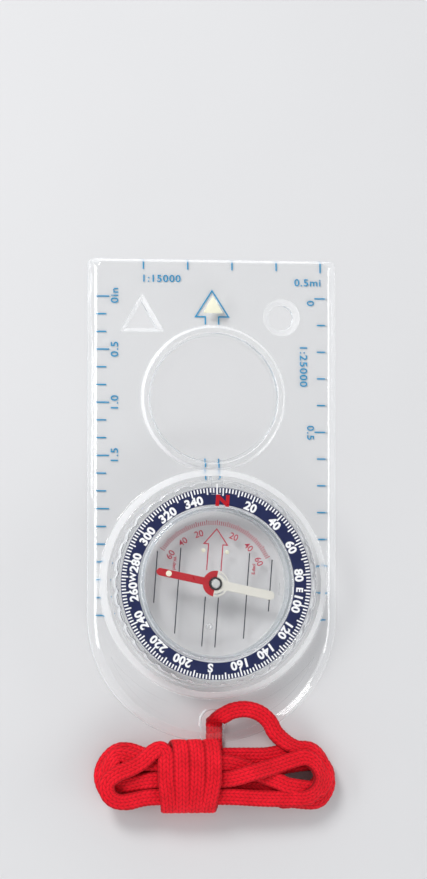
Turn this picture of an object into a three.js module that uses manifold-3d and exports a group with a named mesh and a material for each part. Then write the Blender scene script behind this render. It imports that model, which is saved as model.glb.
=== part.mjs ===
// Baseplate compass: a clear plate with a magnifier, two marking stencils and a lanyard slot, a turning
// capsule in a graduated bezel, a magnetic needle on a steel point, and a folded neck lanyard.
// Millimetres, +Z up. The travel arrow points along +Y, the underside lies at Z 0, and the origin is
// below the middle of the plate.
import * as THREE from "three";
import { mergeVertices } from "three/addons/utils/BufferGeometryUtils.js";
import Module from "manifold-3d";

const wasm = await Module();
wasm.setup();

// Driving dimensions of the plate.
const PLATE_WIDTH = 60;
const PLATE_LENGTH = 115.5;
const PLATE_THICKNESS = 2.6;
const CORNER_RADIUS = 1.6;
const BEVEL_WIDTH = 2.4;
const BEVEL_EDGE_HEIGHT = 1.1;
const TOP_CHAMFER = 0.9;
const END_RADIUS = PLATE_WIDTH / 2;
const END_CENTRE_Y = -PLATE_LENGTH / 2 + END_RADIUS;

// The dial's seat in the plate.
const DIAL_Y = -20;
const COLLAR_BASE_RADIUS = 27.6;
const COLLAR_TOP_RADIUS = 25.7;
const COLLAR_TOP = 4.8;
const COLLAR_FOOT_INSET = 1;
const COLLAR_FOOT_LEVEL = 2.5;
const DIAL_BORE_RADIUS = 24.7;
const LEDGE_RADIUS = 21.4;
const LEDGE_BOTTOM = 0.9;
const LEDGE_TOP = 1.9;
const UNDERCUT_RADIUS = 22.9;
const POCKET_SKIRT_RADIUS = 30;
const POCKET_RADIUS = 26.3;
const POCKET_FLOOR = 2.1;

// The magnifier's seat and lens.
const LENS_Y = 24.4;
const LENS_RADIUS = 15.4;
const LENS_SEAT_RADIUS = 15.6;
const LENS_LEDGE_RADIUS = 14.75;
const LENS_LEDGE_TOP = 0.9;
const LENS_GAP = 0.1;
const LENS_DOME_STEPS = 5;
const LENS_EDGE_THICKNESS = 1.5;
const LENS_TOP = 4.6;
const LENS_COLLAR_RADIUS = 17.5;
const LENS_COLLAR_TOP_RADIUS = 16.7;
const LENS_COLLAR_TOP = 3.9;

// Stencils and the lanyard slot.
const STENCIL_CHAMFER_BOTTOM = 1.3;
const CIRCLE_CENTRE = [16.6, 43.9];
const CIRCLE_RADIUS = 3.0;
const CIRCLE_CHAMFER_RADIUS = 4.5;
const TRIANGLE_CENTRE = [-17.1, 43.3];
const TRIANGLE_RADIUS = 4.3;
const TRIANGLE_CHAMFER_RADIUS = 6.2;
const SLOT_HALF_WIDTH = 2.7;
const SLOT_ARCH_Y = -52.7;
const SLOT_END_Y = -54;
const GROOVE_HEIGHT = 1.6;
const GROOVE_LENGTH = 6;
const GROOVE_LAP = 0.5;

// The travel arrow's luminous fill and the index tab over the bezel.
const FILL_CENTRE_Y = 46.2;
const FILL_RADIUS = 2.75;
const FILL_THICKNESS = 0.3;
const FILL_SIDE_GAP = 0.3;
const FILL_BED_GAP = 0.15;
const TAB_WIDTH = 2.6;
const TAB_INNER_RADIUS = 21.1;
const TAB_POST_RADIUS = 24.95;
const TAB_OUTER_RADIUS = 25.55;
const TAB_BOTTOM = 8.85;
const TAB_TOP = 9.3;

// The bezel that turns in the plate.
const BEZEL_RADIUS = 24.2;
const BEZEL_BOTTOM = 2.1;
const BEZEL_TOP = 8.5;
const BEZEL_BORE_RADIUS = 18.6;
const BEZEL_SCALLOPS = 36;
const SCALLOP_DEPTH = 0.45;
const SCALLOP_POINTS = 5;
const SCALLOP_SHARPNESS = 6;
const NECK_RADIUS = 21.15;
const NECK_STEP_RADIUS = 20.3;
const NECK_STEP_Z = 0.7;
const NECK_BOTTOM = 0.2;
const LIP_RADIUS = 17.5;
const LIP_TOP = 0.6;
const DIAL_TURN = THREE.MathUtils.degToRad(-4.24);
const SCALE_RING_INNER = 18.75;
const SCALE_RING_OUTER = 22.8;
const SCALE_RING_BOTTOM = 7.6;
const SCALE_RING_TOP = 8.2;
const RECESS_RADIUS = 22.95;
const RECESS_FLOOR = 7.45;
const CLIP_INNER = 20.45;
const CLIP_OUTER = 22.5;
const CLIP_GAP = THREE.MathUtils.degToRad(14);
const CLIP_BOTTOM = 0.25;
const CLIP_TOP = 0.6;

// The liquid capsule.
const CAPSULE_RADIUS = 18.35;
const CAPSULE_WALL = 0.9;
const CAPSULE_TOP = 9.8;
const CAPSULE_TOP_INNER = 8.8;
const CAPSULE_EDGE = 0.7;
const CAPSULE_EDGE_STEP = 0.21;
const CAPSULE_WALL_BOTTOM = 2.45;
const FLOOR_BOTTOM = 0.75;
const FLOOR_TOP = 1.9;
const STOP_INNER_RADIUS = 16.2;
const STOP_LENGTH = 1.0;
const STOP_WIDTH = 3.0;
const STOP_ROOT = 1.4;
const STOP_TOP = 2.5;
const SEAL_INNER = 17.55;
const SEAL_GAP = 0.1;
const SEAL_TOP = 2.3;
const PIVOT_BOSS_RADIUS = 1.3;
const PIVOT_BOSS_TOP_RADIUS = 1.04;
const PIVOT_BOSS_TOP = 2.9;
const PIVOT_HOLE_RADIUS = 0.52;
const PIVOT_HOLE_BOTTOM = 1.2;
const PIN_RADIUS = 0.42;
const PIN_BOTTOM = 1.3;
const PIN_SHOULDER = 4.6;
const PIN_TIP = 6.28;
const PIN_TIP_RADIUS = 0.06;
const PLUG_RADIUS = 0.7;
const PLUG_TOP_RADIUS = 0.595;
const PLUG_TOP = 2.25;
const PLUG_Y = -10.3;
const PLUG_CLEARANCE = 0.1;
const DOT_PLACE = [2.87, 7.86];
const DOT_RADIUS = 0.5;
const DOT_BOTTOM = 1.95;
const DOT_TOP = 2.1;

// The needle, north arm along its own +Y.
const NEEDLE_TURN = THREE.MathUtils.degToRad(78);
const NEEDLE_TIP = 14.5;
const POINTER_BOTTOM = 6.25;
const POINTER_TOP = 6.6;
const POINTER_RING_RADIUS = 3.1;
const POINTER_BORE_RADIUS = 1.55;
const NORTH_HALF_WIDTH = 0.9;
const SOUTH_HALF_WIDTH = 1.05;
const MAGNET_HALF_LENGTH = 8;
const MAGNET_HALF_WIDTH = 0.8;
const MAGNET_RING_RADIUS = 2.5;
const MAGNET_BOTTOM = 5.75;
const MAGNET_TOP = 6.15;
const HUB_RADIUS = 1.45;
const HUB_BORE_RADIUS = 1.12;
const HUB_FLANGE_RADIUS = 2.2;
const HUB_BOTTOM = 5.4;
const HUB_FLANGE_TOP = 5.65;
const HUB_TOP = 7.0;
const JEWEL_RADIUS = 1.02;
const JEWEL_BOTTOM = 5.7;
const JEWEL_TOP = 7.15;
const JEWEL_TOP_RADIUS = 0.714;
const JEWEL_SHOULDER = 6.95;
const JEWEL_CONE_RADIUS = 0.6;
const JEWEL_CONE_TOP = 6.42;
const NEEDLE_DOT_Y = 11.5;
const NEEDLE_DOT_RADIUS = 0.72;
const NEEDLE_DOT_BOTTOM = 6.65;
const NEEDLE_DOT_TOP = 6.8;

// The lanyard: a flat braid 4 mm wide, folded into a hank past the plate's round end.
const BRAID_WIDTH = 4;
const BRAID_THICKNESS = 1.3;
const STRAND_DIAMETER = 2.4;
const HANK_HALF_LENGTH = 29.5;
const HANK_TOP_Y = -56.6;
const HANK_BOTTOM_Y = -74.6;
const HANK_HEIGHT = 10;
const HANK_ROUNDING = 4.6;
const UPPER_STEPS = 12;
const LOWER_STEPS = 8;
const UPPER_ROUTE = [
  [0.7, -52.2, 2.1],
  [1.0, -52.1, 3.3],
  [2.2, -51.3, 4.2],
  [4.4, -50.2, 4.6],
  [7.6, -49.8, 4.6],
  [10.8, -50.7, 4.7],
  [13.2, -52.8, 4.9],
  [14.6, -55.4, 5.2],
];
const LOWER_ROUTE = [
  [0, -51.9, 1.7],
  [0, -52.3, 1.1],
  [0, -53.0, 0.75],
  [0, -54.2, 0.68],
  [0, -56.0, 0.68],
  [0, -57.6, 0.68],
];

// Faceting, and how far cutters run past a face.
const ROUND_STEPS = 72;
const SMALL_STEPS = 24;
const TINY_STEPS = 16;
const END_STEPS = 60;
const CORNER_STEPS = 4;
const SCALE_RING_STEPS = 36;
const CLIP_STEPS = 30;
const FLAT_STEPS = 10;
const SECTION_SIDES = 8;
const PAST = 1;

// ---- shape helpers ----

// A geometry as a solid for joining and cutting.
function solid(geometry) {
  const bare = geometry.clone();
  bare.deleteAttribute("normal");
  bare.deleteAttribute("uv");
  const merged = mergeVertices(bare, 1e-4);
  return new wasm.Manifold(
    new wasm.Mesh({
      numProp: 3,
      vertProperties: merged.getAttribute("position").array,
      triVerts: new Uint32Array(merged.index.array),
    }),
  );
}

// A solid back as a geometry.
function geometryOf(body) {
  const mesh = body.getMesh();
  const geometry = new THREE.BufferGeometry();
  geometry.setAttribute("position", new THREE.BufferAttribute(mesh.vertProperties, 3));
  geometry.setIndex(new THREE.BufferAttribute(mesh.triVerts, 1));
  geometry.computeVertexNormals();
  return geometry;
}

// A body of revolution about Z from [radius, height] pairs: the outside going up, the inside down.
function turned(profile, steps = ROUND_STEPS) {
  const points = profile.map(([radius, height]) => new THREE.Vector2(radius, height));
  if (profile[0][0] > 0) points.push(points[0].clone());
  return new THREE.LatheGeometry(points, steps).rotateX(Math.PI / 2);
}

// A flat shape raised from one level to another.
function raised(shape, bottom, top, steps = FLAT_STEPS) {
  const options = { depth: top - bottom, bevelEnabled: false, curveSegments: steps };
  return new THREE.ExtrudeGeometry(shape, options).translate(0, 0, bottom);
}

// A closed body through outlines with equal numbers of points, [outline, level] pairs going up.
function lofted(layers) {
  const count = layers[0][0].length;
  const positions = layers.flatMap(([outline, level]) => outline.flatMap((p) => [p.x, p.y, level]));
  const index = [];
  for (let layer = 0; layer + 1 < layers.length; layer++) {
    for (let i = 0; i < count; i++) {
      const a = layer * count + i;
      const b = layer * count + ((i + 1) % count);
      index.push(a, b, b + count, a, b + count, a + count);
    }
  }
  const last = (layers.length - 1) * count;
  for (const [a, b, c] of THREE.ShapeUtils.triangulateShape(layers[0][0], [])) {
    index.push(c, b, a);
  }
  for (const [a, b, c] of THREE.ShapeUtils.triangulateShape(layers[layers.length - 1][0], [])) {
    index.push(last + a, last + b, last + c);
  }
  const geometry = new THREE.BufferGeometry();
  geometry.setAttribute("position", new THREE.Float32BufferAttribute(positions, 3));
  geometry.setIndex(index);
  geometry.computeVertexNormals();
  return geometry;
}

// A regular triangle with one corner along +Y, its corners a radius away from the middle.
function triangleOutline([x, y], radius) {
  return [90, 210, 330].map((degrees) => {
    const angle = THREE.MathUtils.degToRad(degrees);
    return new THREE.Vector2(x + radius * Math.cos(angle), y + radius * Math.sin(angle));
  });
}

function ringShape(outer, inner) {
  const shape = new THREE.Shape().absarc(0, 0, outer, 0, Math.PI * 2, false);
  shape.holes.push(new THREE.Path().absarc(0, 0, inner, 0, Math.PI * 2, true));
  return shape;
}

// ---- materials ----

function plastic(color, roughness) {
  return new THREE.MeshStandardMaterial({ color, roughness, metalness: 0 });
}

function clearPlastic(opacity) {
  const options = { color: 0xeef4f5, roughness: 0.06, metalness: 0, transparent: true, opacity };
  return new THREE.MeshStandardMaterial(options);
}

const CLEAR = clearPlastic(0.35);
const LENS_CLEAR = clearPlastic(0.25);
const NAVY = plastic(0x101f4f, 0.35);
const BLACK = plastic(0x14161a, 0.4);
const CREAM = plastic(0xf2ecc8, 0.6);
const SILICONE = plastic(0xb9bfc2, 0.5);
const POINTER_PAINT = plastic(0xd2202f, 0.35);
const BRAID_RED = plastic(0xd81f30, 0.85);
const JEWEL = plastic(0x9aa0a8, 0.15);
const STEEL = new THREE.MeshStandardMaterial({ color: 0xb8bcc0, roughness: 0.25, metalness: 1 });
const MAGNET_STEEL = new THREE.MeshStandardMaterial({ color: 0x6f7478, roughness: 0.4, metalness: 1 });

// ---- the plate and what is fixed to it ----

// Points along an arc of a circle, both ends included.
function arcPoints(x, y, radius, from, to, steps) {
  const points = [];
  for (let i = 0; i <= steps; i++) {
    const angle = from + ((to - from) * i) / steps;
    points.push(new THREE.Vector2(x + radius * Math.cos(angle), y + radius * Math.sin(angle)));
  }
  return points;
}

// The plate's outline: straight sides, a square top with small corners, a half-round lower end.
function plateOutline(sideInset, topInset) {
  const half = PLATE_WIDTH / 2 - sideInset;
  const cornerX = half - CORNER_RADIUS;
  const cornerY = PLATE_LENGTH / 2 - topInset - CORNER_RADIUS;
  return [
    ...arcPoints(0, END_CENTRE_Y, half, Math.PI, Math.PI * 2, END_STEPS),
    ...arcPoints(cornerX, cornerY, CORNER_RADIUS, 0, Math.PI / 2, CORNER_STEPS),
    ...arcPoints(-cornerX, cornerY, CORNER_RADIUS, Math.PI / 2, Math.PI, CORNER_STEPS),
  ];
}

// The slab with its bevelled long sides and end, and the collars of the dial and the magnifier.
function plateBody() {
  const slab = solid(
    lofted([
      [plateOutline(0, 0), 0],
      [plateOutline(0, 0), BEVEL_EDGE_HEIGHT],
      [plateOutline(BEVEL_WIDTH, TOP_CHAMFER), PLATE_THICKNESS],
    ]),
  );
  const dialCollar = turned([
    [0, LEDGE_TOP],
    [COLLAR_BASE_RADIUS - COLLAR_FOOT_INSET, LEDGE_TOP],
    [COLLAR_BASE_RADIUS, COLLAR_FOOT_LEVEL],
    [COLLAR_TOP_RADIUS, COLLAR_TOP],
    [0, COLLAR_TOP],
  ]).translate(0, DIAL_Y, 0);
  const lensCollar = turned([
    [0, LEDGE_TOP],
    [LENS_COLLAR_RADIUS, LEDGE_TOP],
    [LENS_COLLAR_RADIUS, PLATE_THICKNESS],
    [LENS_COLLAR_TOP_RADIUS, LENS_COLLAR_TOP],
    [0, LENS_COLLAR_TOP],
  ]).translate(0, LENS_Y, 0);
  return slab.add(solid(dialCollar)).add(solid(lensCollar));
}

function dialBoreCutter() {
  return turned([
    [0, -PAST],
    [UNDERCUT_RADIUS, -PAST],
    [UNDERCUT_RADIUS, LEDGE_BOTTOM],
    [LEDGE_RADIUS, LEDGE_BOTTOM],
    [LEDGE_RADIUS, LEDGE_TOP],
    [DIAL_BORE_RADIUS, LEDGE_TOP],
    [DIAL_BORE_RADIUS, COLLAR_TOP + PAST],
    [0, COLLAR_TOP + PAST],
  ]).translate(0, DIAL_Y, 0);
}

function lensSeatCutter() {
  return turned([
    [0, -PAST],
    [LENS_LEDGE_RADIUS, -PAST],
    [LENS_LEDGE_RADIUS, LENS_LEDGE_TOP],
    [LENS_SEAT_RADIUS, LENS_LEDGE_TOP],
    [LENS_SEAT_RADIUS, LENS_COLLAR_TOP + PAST],
    [0, LENS_COLLAR_TOP + PAST],
  ]).translate(0, LENS_Y, 0);
}

function circleStencilCutter() {
  const [x, y] = CIRCLE_CENTRE;
  return turned(
    [
      [0, -PAST],
      [CIRCLE_RADIUS, -PAST],
      [CIRCLE_RADIUS, STENCIL_CHAMFER_BOTTOM],
      [CIRCLE_CHAMFER_RADIUS, PLATE_THICKNESS],
      [CIRCLE_CHAMFER_RADIUS, PLATE_THICKNESS + PAST],
      [0, PLATE_THICKNESS + PAST],
    ],
    SMALL_STEPS,
  ).translate(x, y, 0);
}

function triangleStencilCutter() {
  const inner = triangleOutline(TRIANGLE_CENTRE, TRIANGLE_RADIUS);
  const outer = triangleOutline(TRIANGLE_CENTRE, TRIANGLE_CHAMFER_RADIUS);
  return lofted([
    [inner, -PAST],
    [inner, STENCIL_CHAMFER_BOTTOM],
    [outer, PLATE_THICKNESS],
    [outer, PLATE_THICKNESS + PAST],
  ]);
}

// The lanyard slot, arched towards the dial, and the groove that leads the braid out under the end bar.
function slotCutter() {
  const arch = new THREE.Shape();
  arch.moveTo(-SLOT_HALF_WIDTH, SLOT_END_Y);
  arch.lineTo(SLOT_HALF_WIDTH, SLOT_END_Y);
  arch.lineTo(SLOT_HALF_WIDTH, SLOT_ARCH_Y);
  arch.absarc(0, SLOT_ARCH_Y, SLOT_HALF_WIDTH, 0, Math.PI, false);
  const groove = new THREE.BoxGeometry(2 * SLOT_HALF_WIDTH, GROOVE_LENGTH, GROOVE_HEIGHT + PAST);
  groove.translate(0, SLOT_END_Y + GROOVE_LAP - GROOVE_LENGTH / 2, (GROOVE_HEIGHT - PAST) / 2);
  return solid(raised(arch, -PAST, PLATE_THICKNESS + PAST)).add(solid(groove));
}

// The shallow crescent pocket between the dial's skirt and the rim of the round end.
function crescentCutter() {
  const pocket = turned([
    [0, POCKET_FLOOR],
    [POCKET_RADIUS, POCKET_FLOOR],
    [POCKET_RADIUS, PLATE_THICKNESS + PAST],
    [0, PLATE_THICKNESS + PAST],
  ]).translate(0, END_CENTRE_Y, 0);
  const skirt = turned([
    [0, POCKET_FLOOR - PAST],
    [POCKET_SKIRT_RADIUS, POCKET_FLOOR - PAST],
    [POCKET_SKIRT_RADIUS, PLATE_THICKNESS + 2 * PAST],
    [0, PLATE_THICKNESS + 2 * PAST],
  ]).translate(0, DIAL_Y, 0);
  return solid(pocket).subtract(solid(skirt));
}

// The pocket in the top face that holds the luminous fill of the travel arrow.
function fillPocketCutter() {
  const outline = triangleOutline([0, FILL_CENTRE_Y], FILL_RADIUS + FILL_SIDE_GAP);
  return lofted([
    [outline, PLATE_THICKNESS - FILL_THICKNESS - FILL_BED_GAP],
    [outline, PLATE_THICKNESS + PAST],
  ]);
}

function baseplate() {
  return geometryOf(
    plateBody()
      .subtract(solid(dialBoreCutter()))
      .subtract(solid(lensSeatCutter()))
      .subtract(solid(circleStencilCutter()))
      .subtract(solid(triangleStencilCutter()))
      .subtract(slotCutter())
      .subtract(crescentCutter())
      .subtract(solid(fillPocketCutter())),
  );
}

// A plano-convex lens: flat below, a shallow dome above, with a straight rim.
function magnifierLens() {
  const bottom = LENS_LEDGE_TOP + LENS_GAP;
  const rimTop = bottom + LENS_EDGE_THICKNESS;
  const rise = LENS_TOP - rimTop;
  const sphere = (LENS_RADIUS ** 2 + rise ** 2) / (2 * rise);
  const profile = [
    [0, bottom],
    [LENS_RADIUS, bottom],
  ];
  for (let i = 0; i <= LENS_DOME_STEPS; i++) {
    const radius = LENS_RADIUS * (1 - i / LENS_DOME_STEPS);
    profile.push([radius, LENS_TOP - sphere + Math.sqrt(sphere ** 2 - radius ** 2)]);
  }
  return turned(profile);
}

function travelArrowFill() {
  const outline = triangleOutline([0, FILL_CENTRE_Y], FILL_RADIUS);
  return lofted([
    [outline, PLATE_THICKNESS - FILL_THICKNESS],
    [outline, PLATE_THICKNESS],
  ]);
}

// A clear post on the collar with a tab that reaches over the bezel's edge to the degree scale.
function indexTab() {
  const side = new THREE.Shape();
  side.moveTo(TAB_POST_RADIUS, COLLAR_TOP);
  side.lineTo(TAB_OUTER_RADIUS, COLLAR_TOP);
  side.lineTo(TAB_OUTER_RADIUS, TAB_TOP);
  side.lineTo(TAB_INNER_RADIUS, TAB_TOP);
  side.lineTo(TAB_INNER_RADIUS, TAB_BOTTOM);
  side.lineTo(TAB_POST_RADIUS, TAB_BOTTOM);
  const tab = new THREE.ExtrudeGeometry(side, { depth: TAB_WIDTH, bevelEnabled: false });
  return tab.translate(0, 0, -TAB_WIDTH / 2).rotateX(Math.PI / 2).rotateZ(Math.PI / 2);
}

// ---- the bezel and the capsule ----

// The bezel's outline with its finger scallops, one groove per lobe.
function scallopedOutline() {
  const total = BEZEL_SCALLOPS * SCALLOP_POINTS;
  const points = [];
  for (let i = 0; i < total; i++) {
    const angle = (i / total) * Math.PI * 2;
    const wave = Math.abs(Math.cos((BEZEL_SCALLOPS / 2) * angle));
    const radius = BEZEL_RADIUS - SCALLOP_DEPTH * wave ** SCALLOP_SHARPNESS;
    points.push(new THREE.Vector2(radius * Math.sin(angle), radius * Math.cos(angle)));
  }
  return points.reverse();
}

function bezelRing() {
  const outline = scallopedOutline();
  const grip = solid(
    lofted([
      [outline, BEZEL_BOTTOM],
      [outline, BEZEL_TOP],
    ]),
  );
  const neck = turned([
    [0, NECK_BOTTOM],
    [NECK_STEP_RADIUS, NECK_BOTTOM],
    [NECK_STEP_RADIUS, NECK_STEP_Z],
    [NECK_RADIUS, NECK_STEP_Z],
    [NECK_RADIUS, BEZEL_BOTTOM + PAST],
    [0, BEZEL_BOTTOM + PAST],
  ]);
  const bore = turned([
    [0, -PAST],
    [LIP_RADIUS, -PAST],
    [LIP_RADIUS, LIP_TOP],
    [BEZEL_BORE_RADIUS, LIP_TOP],
    [BEZEL_BORE_RADIUS, RECESS_FLOOR],
    [RECESS_RADIUS, RECESS_FLOOR],
    [RECESS_RADIUS, BEZEL_TOP + PAST],
    [0, BEZEL_TOP + PAST],
  ]);
  return geometryOf(grip.add(solid(neck)).subtract(solid(bore)));
}

function scaleRing() {
  const shape = ringShape(SCALE_RING_OUTER, SCALE_RING_INNER);
  return raised(shape, SCALE_RING_BOTTOM, SCALE_RING_TOP, SCALE_RING_STEPS);
}

// The split spring ring that holds the bezel's neck under the plate's ledge.
function retainingRing() {
  const half = CLIP_GAP / 2;
  const shape = new THREE.Shape();
  shape.absarc(0, 0, CLIP_OUTER, half, Math.PI * 2 - half, false);
  shape.absarc(0, 0, CLIP_INNER, Math.PI * 2 - half, half, true);
  return raised(shape, CLIP_BOTTOM, CLIP_TOP, CLIP_STEPS);
}

// The clear cup that covers the needle, open below.
function capsuleTop() {
  const inner = CAPSULE_RADIUS - CAPSULE_WALL;
  return turned([
    [0, CAPSULE_TOP_INNER],
    [inner, CAPSULE_TOP_INNER],
    [inner, CAPSULE_WALL_BOTTOM],
    [CAPSULE_RADIUS, CAPSULE_WALL_BOTTOM],
    [CAPSULE_RADIUS, CAPSULE_TOP - CAPSULE_EDGE],
    [CAPSULE_RADIUS - CAPSULE_EDGE_STEP, CAPSULE_TOP - CAPSULE_EDGE_STEP],
    [CAPSULE_RADIUS - CAPSULE_EDGE, CAPSULE_TOP],
    [0, CAPSULE_TOP],
  ]);
}

// One of the two small blocks at the east and west edges of the capsule's floor.
function floorStop(side) {
  const block = new THREE.BoxGeometry(STOP_LENGTH, STOP_WIDTH, STOP_TOP - STOP_ROOT);
  const x = side * (STOP_INNER_RADIUS + STOP_LENGTH / 2);
  return block.translate(x, 0, (STOP_TOP + STOP_ROOT) / 2);
}

// The clear floor with the boss that holds the pivot, the two edge blocks and the drilled filling hole.
function capsuleFloor() {
  const disc = solid(
    turned([
      [0, FLOOR_BOTTOM],
      [CAPSULE_RADIUS, FLOOR_BOTTOM],
      [CAPSULE_RADIUS, FLOOR_TOP],
      [PIVOT_BOSS_RADIUS, FLOOR_TOP],
      [PIVOT_BOSS_TOP_RADIUS, PIVOT_BOSS_TOP],
      [PIVOT_HOLE_RADIUS, PIVOT_BOSS_TOP],
      [PIVOT_HOLE_RADIUS, PIVOT_HOLE_BOTTOM],
      [0, PIVOT_HOLE_BOTTOM],
    ]),
  );
  const hole = turned(
    [
      [0, FLOOR_BOTTOM - PAST],
      [PLUG_RADIUS + PLUG_CLEARANCE, FLOOR_BOTTOM - PAST],
      [PLUG_RADIUS + PLUG_CLEARANCE, FLOOR_TOP + PAST],
      [0, FLOOR_TOP + PAST],
    ],
    TINY_STEPS,
  ).translate(0, PLUG_Y, 0);
  const stops = solid(floorStop(-1)).add(solid(floorStop(1)));
  return geometryOf(disc.add(stops).subtract(solid(hole)));
}

function capsuleSeal() {
  return turned([
    [CAPSULE_RADIUS - SEAL_GAP, FLOOR_TOP + SEAL_GAP],
    [CAPSULE_RADIUS - SEAL_GAP, SEAL_TOP],
    [SEAL_INNER, SEAL_TOP],
    [SEAL_INNER, FLOOR_TOP + SEAL_GAP],
  ]);
}

function pivotPin() {
  return turned(
    [
      [0, PIN_BOTTOM],
      [PIN_RADIUS, PIN_BOTTOM],
      [PIN_RADIUS, PIN_SHOULDER],
      [PIN_TIP_RADIUS, PIN_TIP],
      [0, PIN_TIP],
    ],
    SMALL_STEPS,
  );
}

function fillerPlug() {
  return turned(
    [
      [0, FLOOR_BOTTOM],
      [PLUG_RADIUS, FLOOR_BOTTOM],
      [PLUG_RADIUS, FLOOR_TOP],
      [PLUG_TOP_RADIUS, PLUG_TOP],
      [0, PLUG_TOP],
    ],
    TINY_STEPS,
  ).translate(0, PLUG_Y, 0);
}

function orientingDot(side) {
  const [x, y] = DOT_PLACE;
  return turned(
    [
      [0, DOT_BOTTOM],
      [DOT_RADIUS, DOT_BOTTOM],
      [DOT_RADIUS, DOT_TOP],
      [0, DOT_TOP],
    ],
    TINY_STEPS,
  ).translate(side * x, y, 0);
}

// ---- the needle ----

// Two arms on a round middle with a bore, the arms ending in half-round tips.
function armsShape(length, northHalf, southHalf, ring, bore) {
  const northAngle = Math.asin(northHalf / ring);
  const southAngle = Math.asin(southHalf / ring);
  const quarter = Math.PI / 2;
  const shape = new THREE.Shape();
  shape.absarc(0, length - northHalf, northHalf, 0, Math.PI, false);
  shape.absarc(0, 0, ring, quarter + northAngle, 3 * quarter - southAngle, false);
  shape.absarc(0, southHalf - length, southHalf, Math.PI, Math.PI * 2, false);
  shape.absarc(0, 0, ring, -quarter + southAngle, quarter - northAngle, false);
  shape.holes.push(new THREE.Path().absarc(0, 0, bore, 0, Math.PI * 2, true));
  return shape;
}

function pointer() {
  const shape = armsShape(
    NEEDLE_TIP,
    NORTH_HALF_WIDTH,
    SOUTH_HALF_WIDTH,
    POINTER_RING_RADIUS,
    POINTER_BORE_RADIUS,
  );
  return raised(shape, POINTER_BOTTOM, POINTER_TOP);
}

function magnet() {
  const shape = armsShape(
    MAGNET_HALF_LENGTH,
    MAGNET_HALF_WIDTH,
    MAGNET_HALF_WIDTH,
    MAGNET_RING_RADIUS,
    POINTER_BORE_RADIUS,
  );
  return raised(shape, MAGNET_BOTTOM, MAGNET_TOP);
}

// The black rivet that joins the pointer and the magnet, with a flange below.
function needleHub() {
  return turned(
    [
      [HUB_FLANGE_RADIUS, HUB_BOTTOM],
      [HUB_FLANGE_RADIUS, HUB_FLANGE_TOP],
      [HUB_RADIUS, HUB_FLANGE_TOP],
      [HUB_RADIUS, HUB_TOP],
      [HUB_BORE_RADIUS, HUB_TOP],
      [HUB_BORE_RADIUS, HUB_BOTTOM],
    ],
    SMALL_STEPS,
  );
}

// The jewel cup, whose cone rests over the pivot's point.
function jewelCup() {
  return turned(
    [
      [0, JEWEL_CONE_TOP],
      [JEWEL_CONE_RADIUS, JEWEL_BOTTOM],
      [JEWEL_RADIUS, JEWEL_BOTTOM],
      [JEWEL_RADIUS, JEWEL_SHOULDER],
      [JEWEL_TOP_RADIUS, JEWEL_TOP],
      [0, JEWEL_TOP],
    ],
    SMALL_STEPS,
  );
}

function needleDot() {
  return turned(
    [
      [0, NEEDLE_DOT_BOTTOM],
      [NEEDLE_DOT_RADIUS, NEEDLE_DOT_BOTTOM],
      [NEEDLE_DOT_RADIUS, NEEDLE_DOT_TOP],
      [0, NEEDLE_DOT_TOP],
    ],
    TINY_STEPS,
  ).translate(0, NEEDLE_DOT_Y, 0);
}

// ---- the lanyard ----

// The braid's faceted section, its first size across the route's normal.
function braidSection(across, along) {
  const shape = new THREE.Shape();
  const stretch = Math.cos(Math.PI / SECTION_SIDES);
  for (let i = 0; i < SECTION_SIDES; i++) {
    const angle = ((i + 0.5) / SECTION_SIDES) * Math.PI * 2;
    const x = ((across / 2) * Math.cos(angle)) / stretch;
    const y = ((along / 2) * Math.sin(angle)) / stretch;
    if (i === 0) shape.moveTo(x, y);
    else shape.lineTo(x, y);
  }
  return shape;
}

function strand(route, across, along, steps) {
  const points = route.map(([x, y, z]) => new THREE.Vector3(x, y, z));
  const extrudePath = new THREE.CatmullRomCurve3(points);
  const section = braidSection(across, along);
  return new THREE.ExtrudeGeometry(section, { steps, extrudePath, bevelEnabled: false });
}

// The folded hank: one outline with round ends, rounded above and below.
function lanyardHank() {
  const end = (HANK_TOP_Y - HANK_BOTTOM_Y) / 2 - HANK_ROUNDING;
  const middle = (HANK_TOP_Y + HANK_BOTTOM_Y) / 2;
  const reach = HANK_HALF_LENGTH - HANK_ROUNDING - end;
  const outline = new THREE.Shape();
  outline.absarc(reach, middle, end, -Math.PI / 2, Math.PI / 2, false);
  outline.absarc(-reach, middle, end, Math.PI / 2, (3 * Math.PI) / 2, false);
  return new THREE.ExtrudeGeometry(outline, {
    depth: HANK_HEIGHT - 2 * HANK_ROUNDING,
    bevelThickness: HANK_ROUNDING,
    bevelSize: HANK_ROUNDING,
    bevelSegments: 4,
    curveSegments: 12,
  }).translate(0, 0, HANK_ROUNDING);
}

// ---- assembly ----

function piece(group, name, geometry, material) {
  const mesh = new THREE.Mesh(geometry, material);
  mesh.name = name;
  group.add(mesh);
  return mesh;
}

const compass = new THREE.Group();
piece(compass, "baseplate", baseplate(), CLEAR);
piece(compass, "magnifier_lens", magnifierLens(), LENS_CLEAR).position.set(0, LENS_Y, 0);
piece(compass, "travel_arrow_fill", travelArrowFill(), CREAM);
piece(compass, "index_tab", indexTab(), CLEAR).position.set(0, DIAL_Y, 0);

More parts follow.
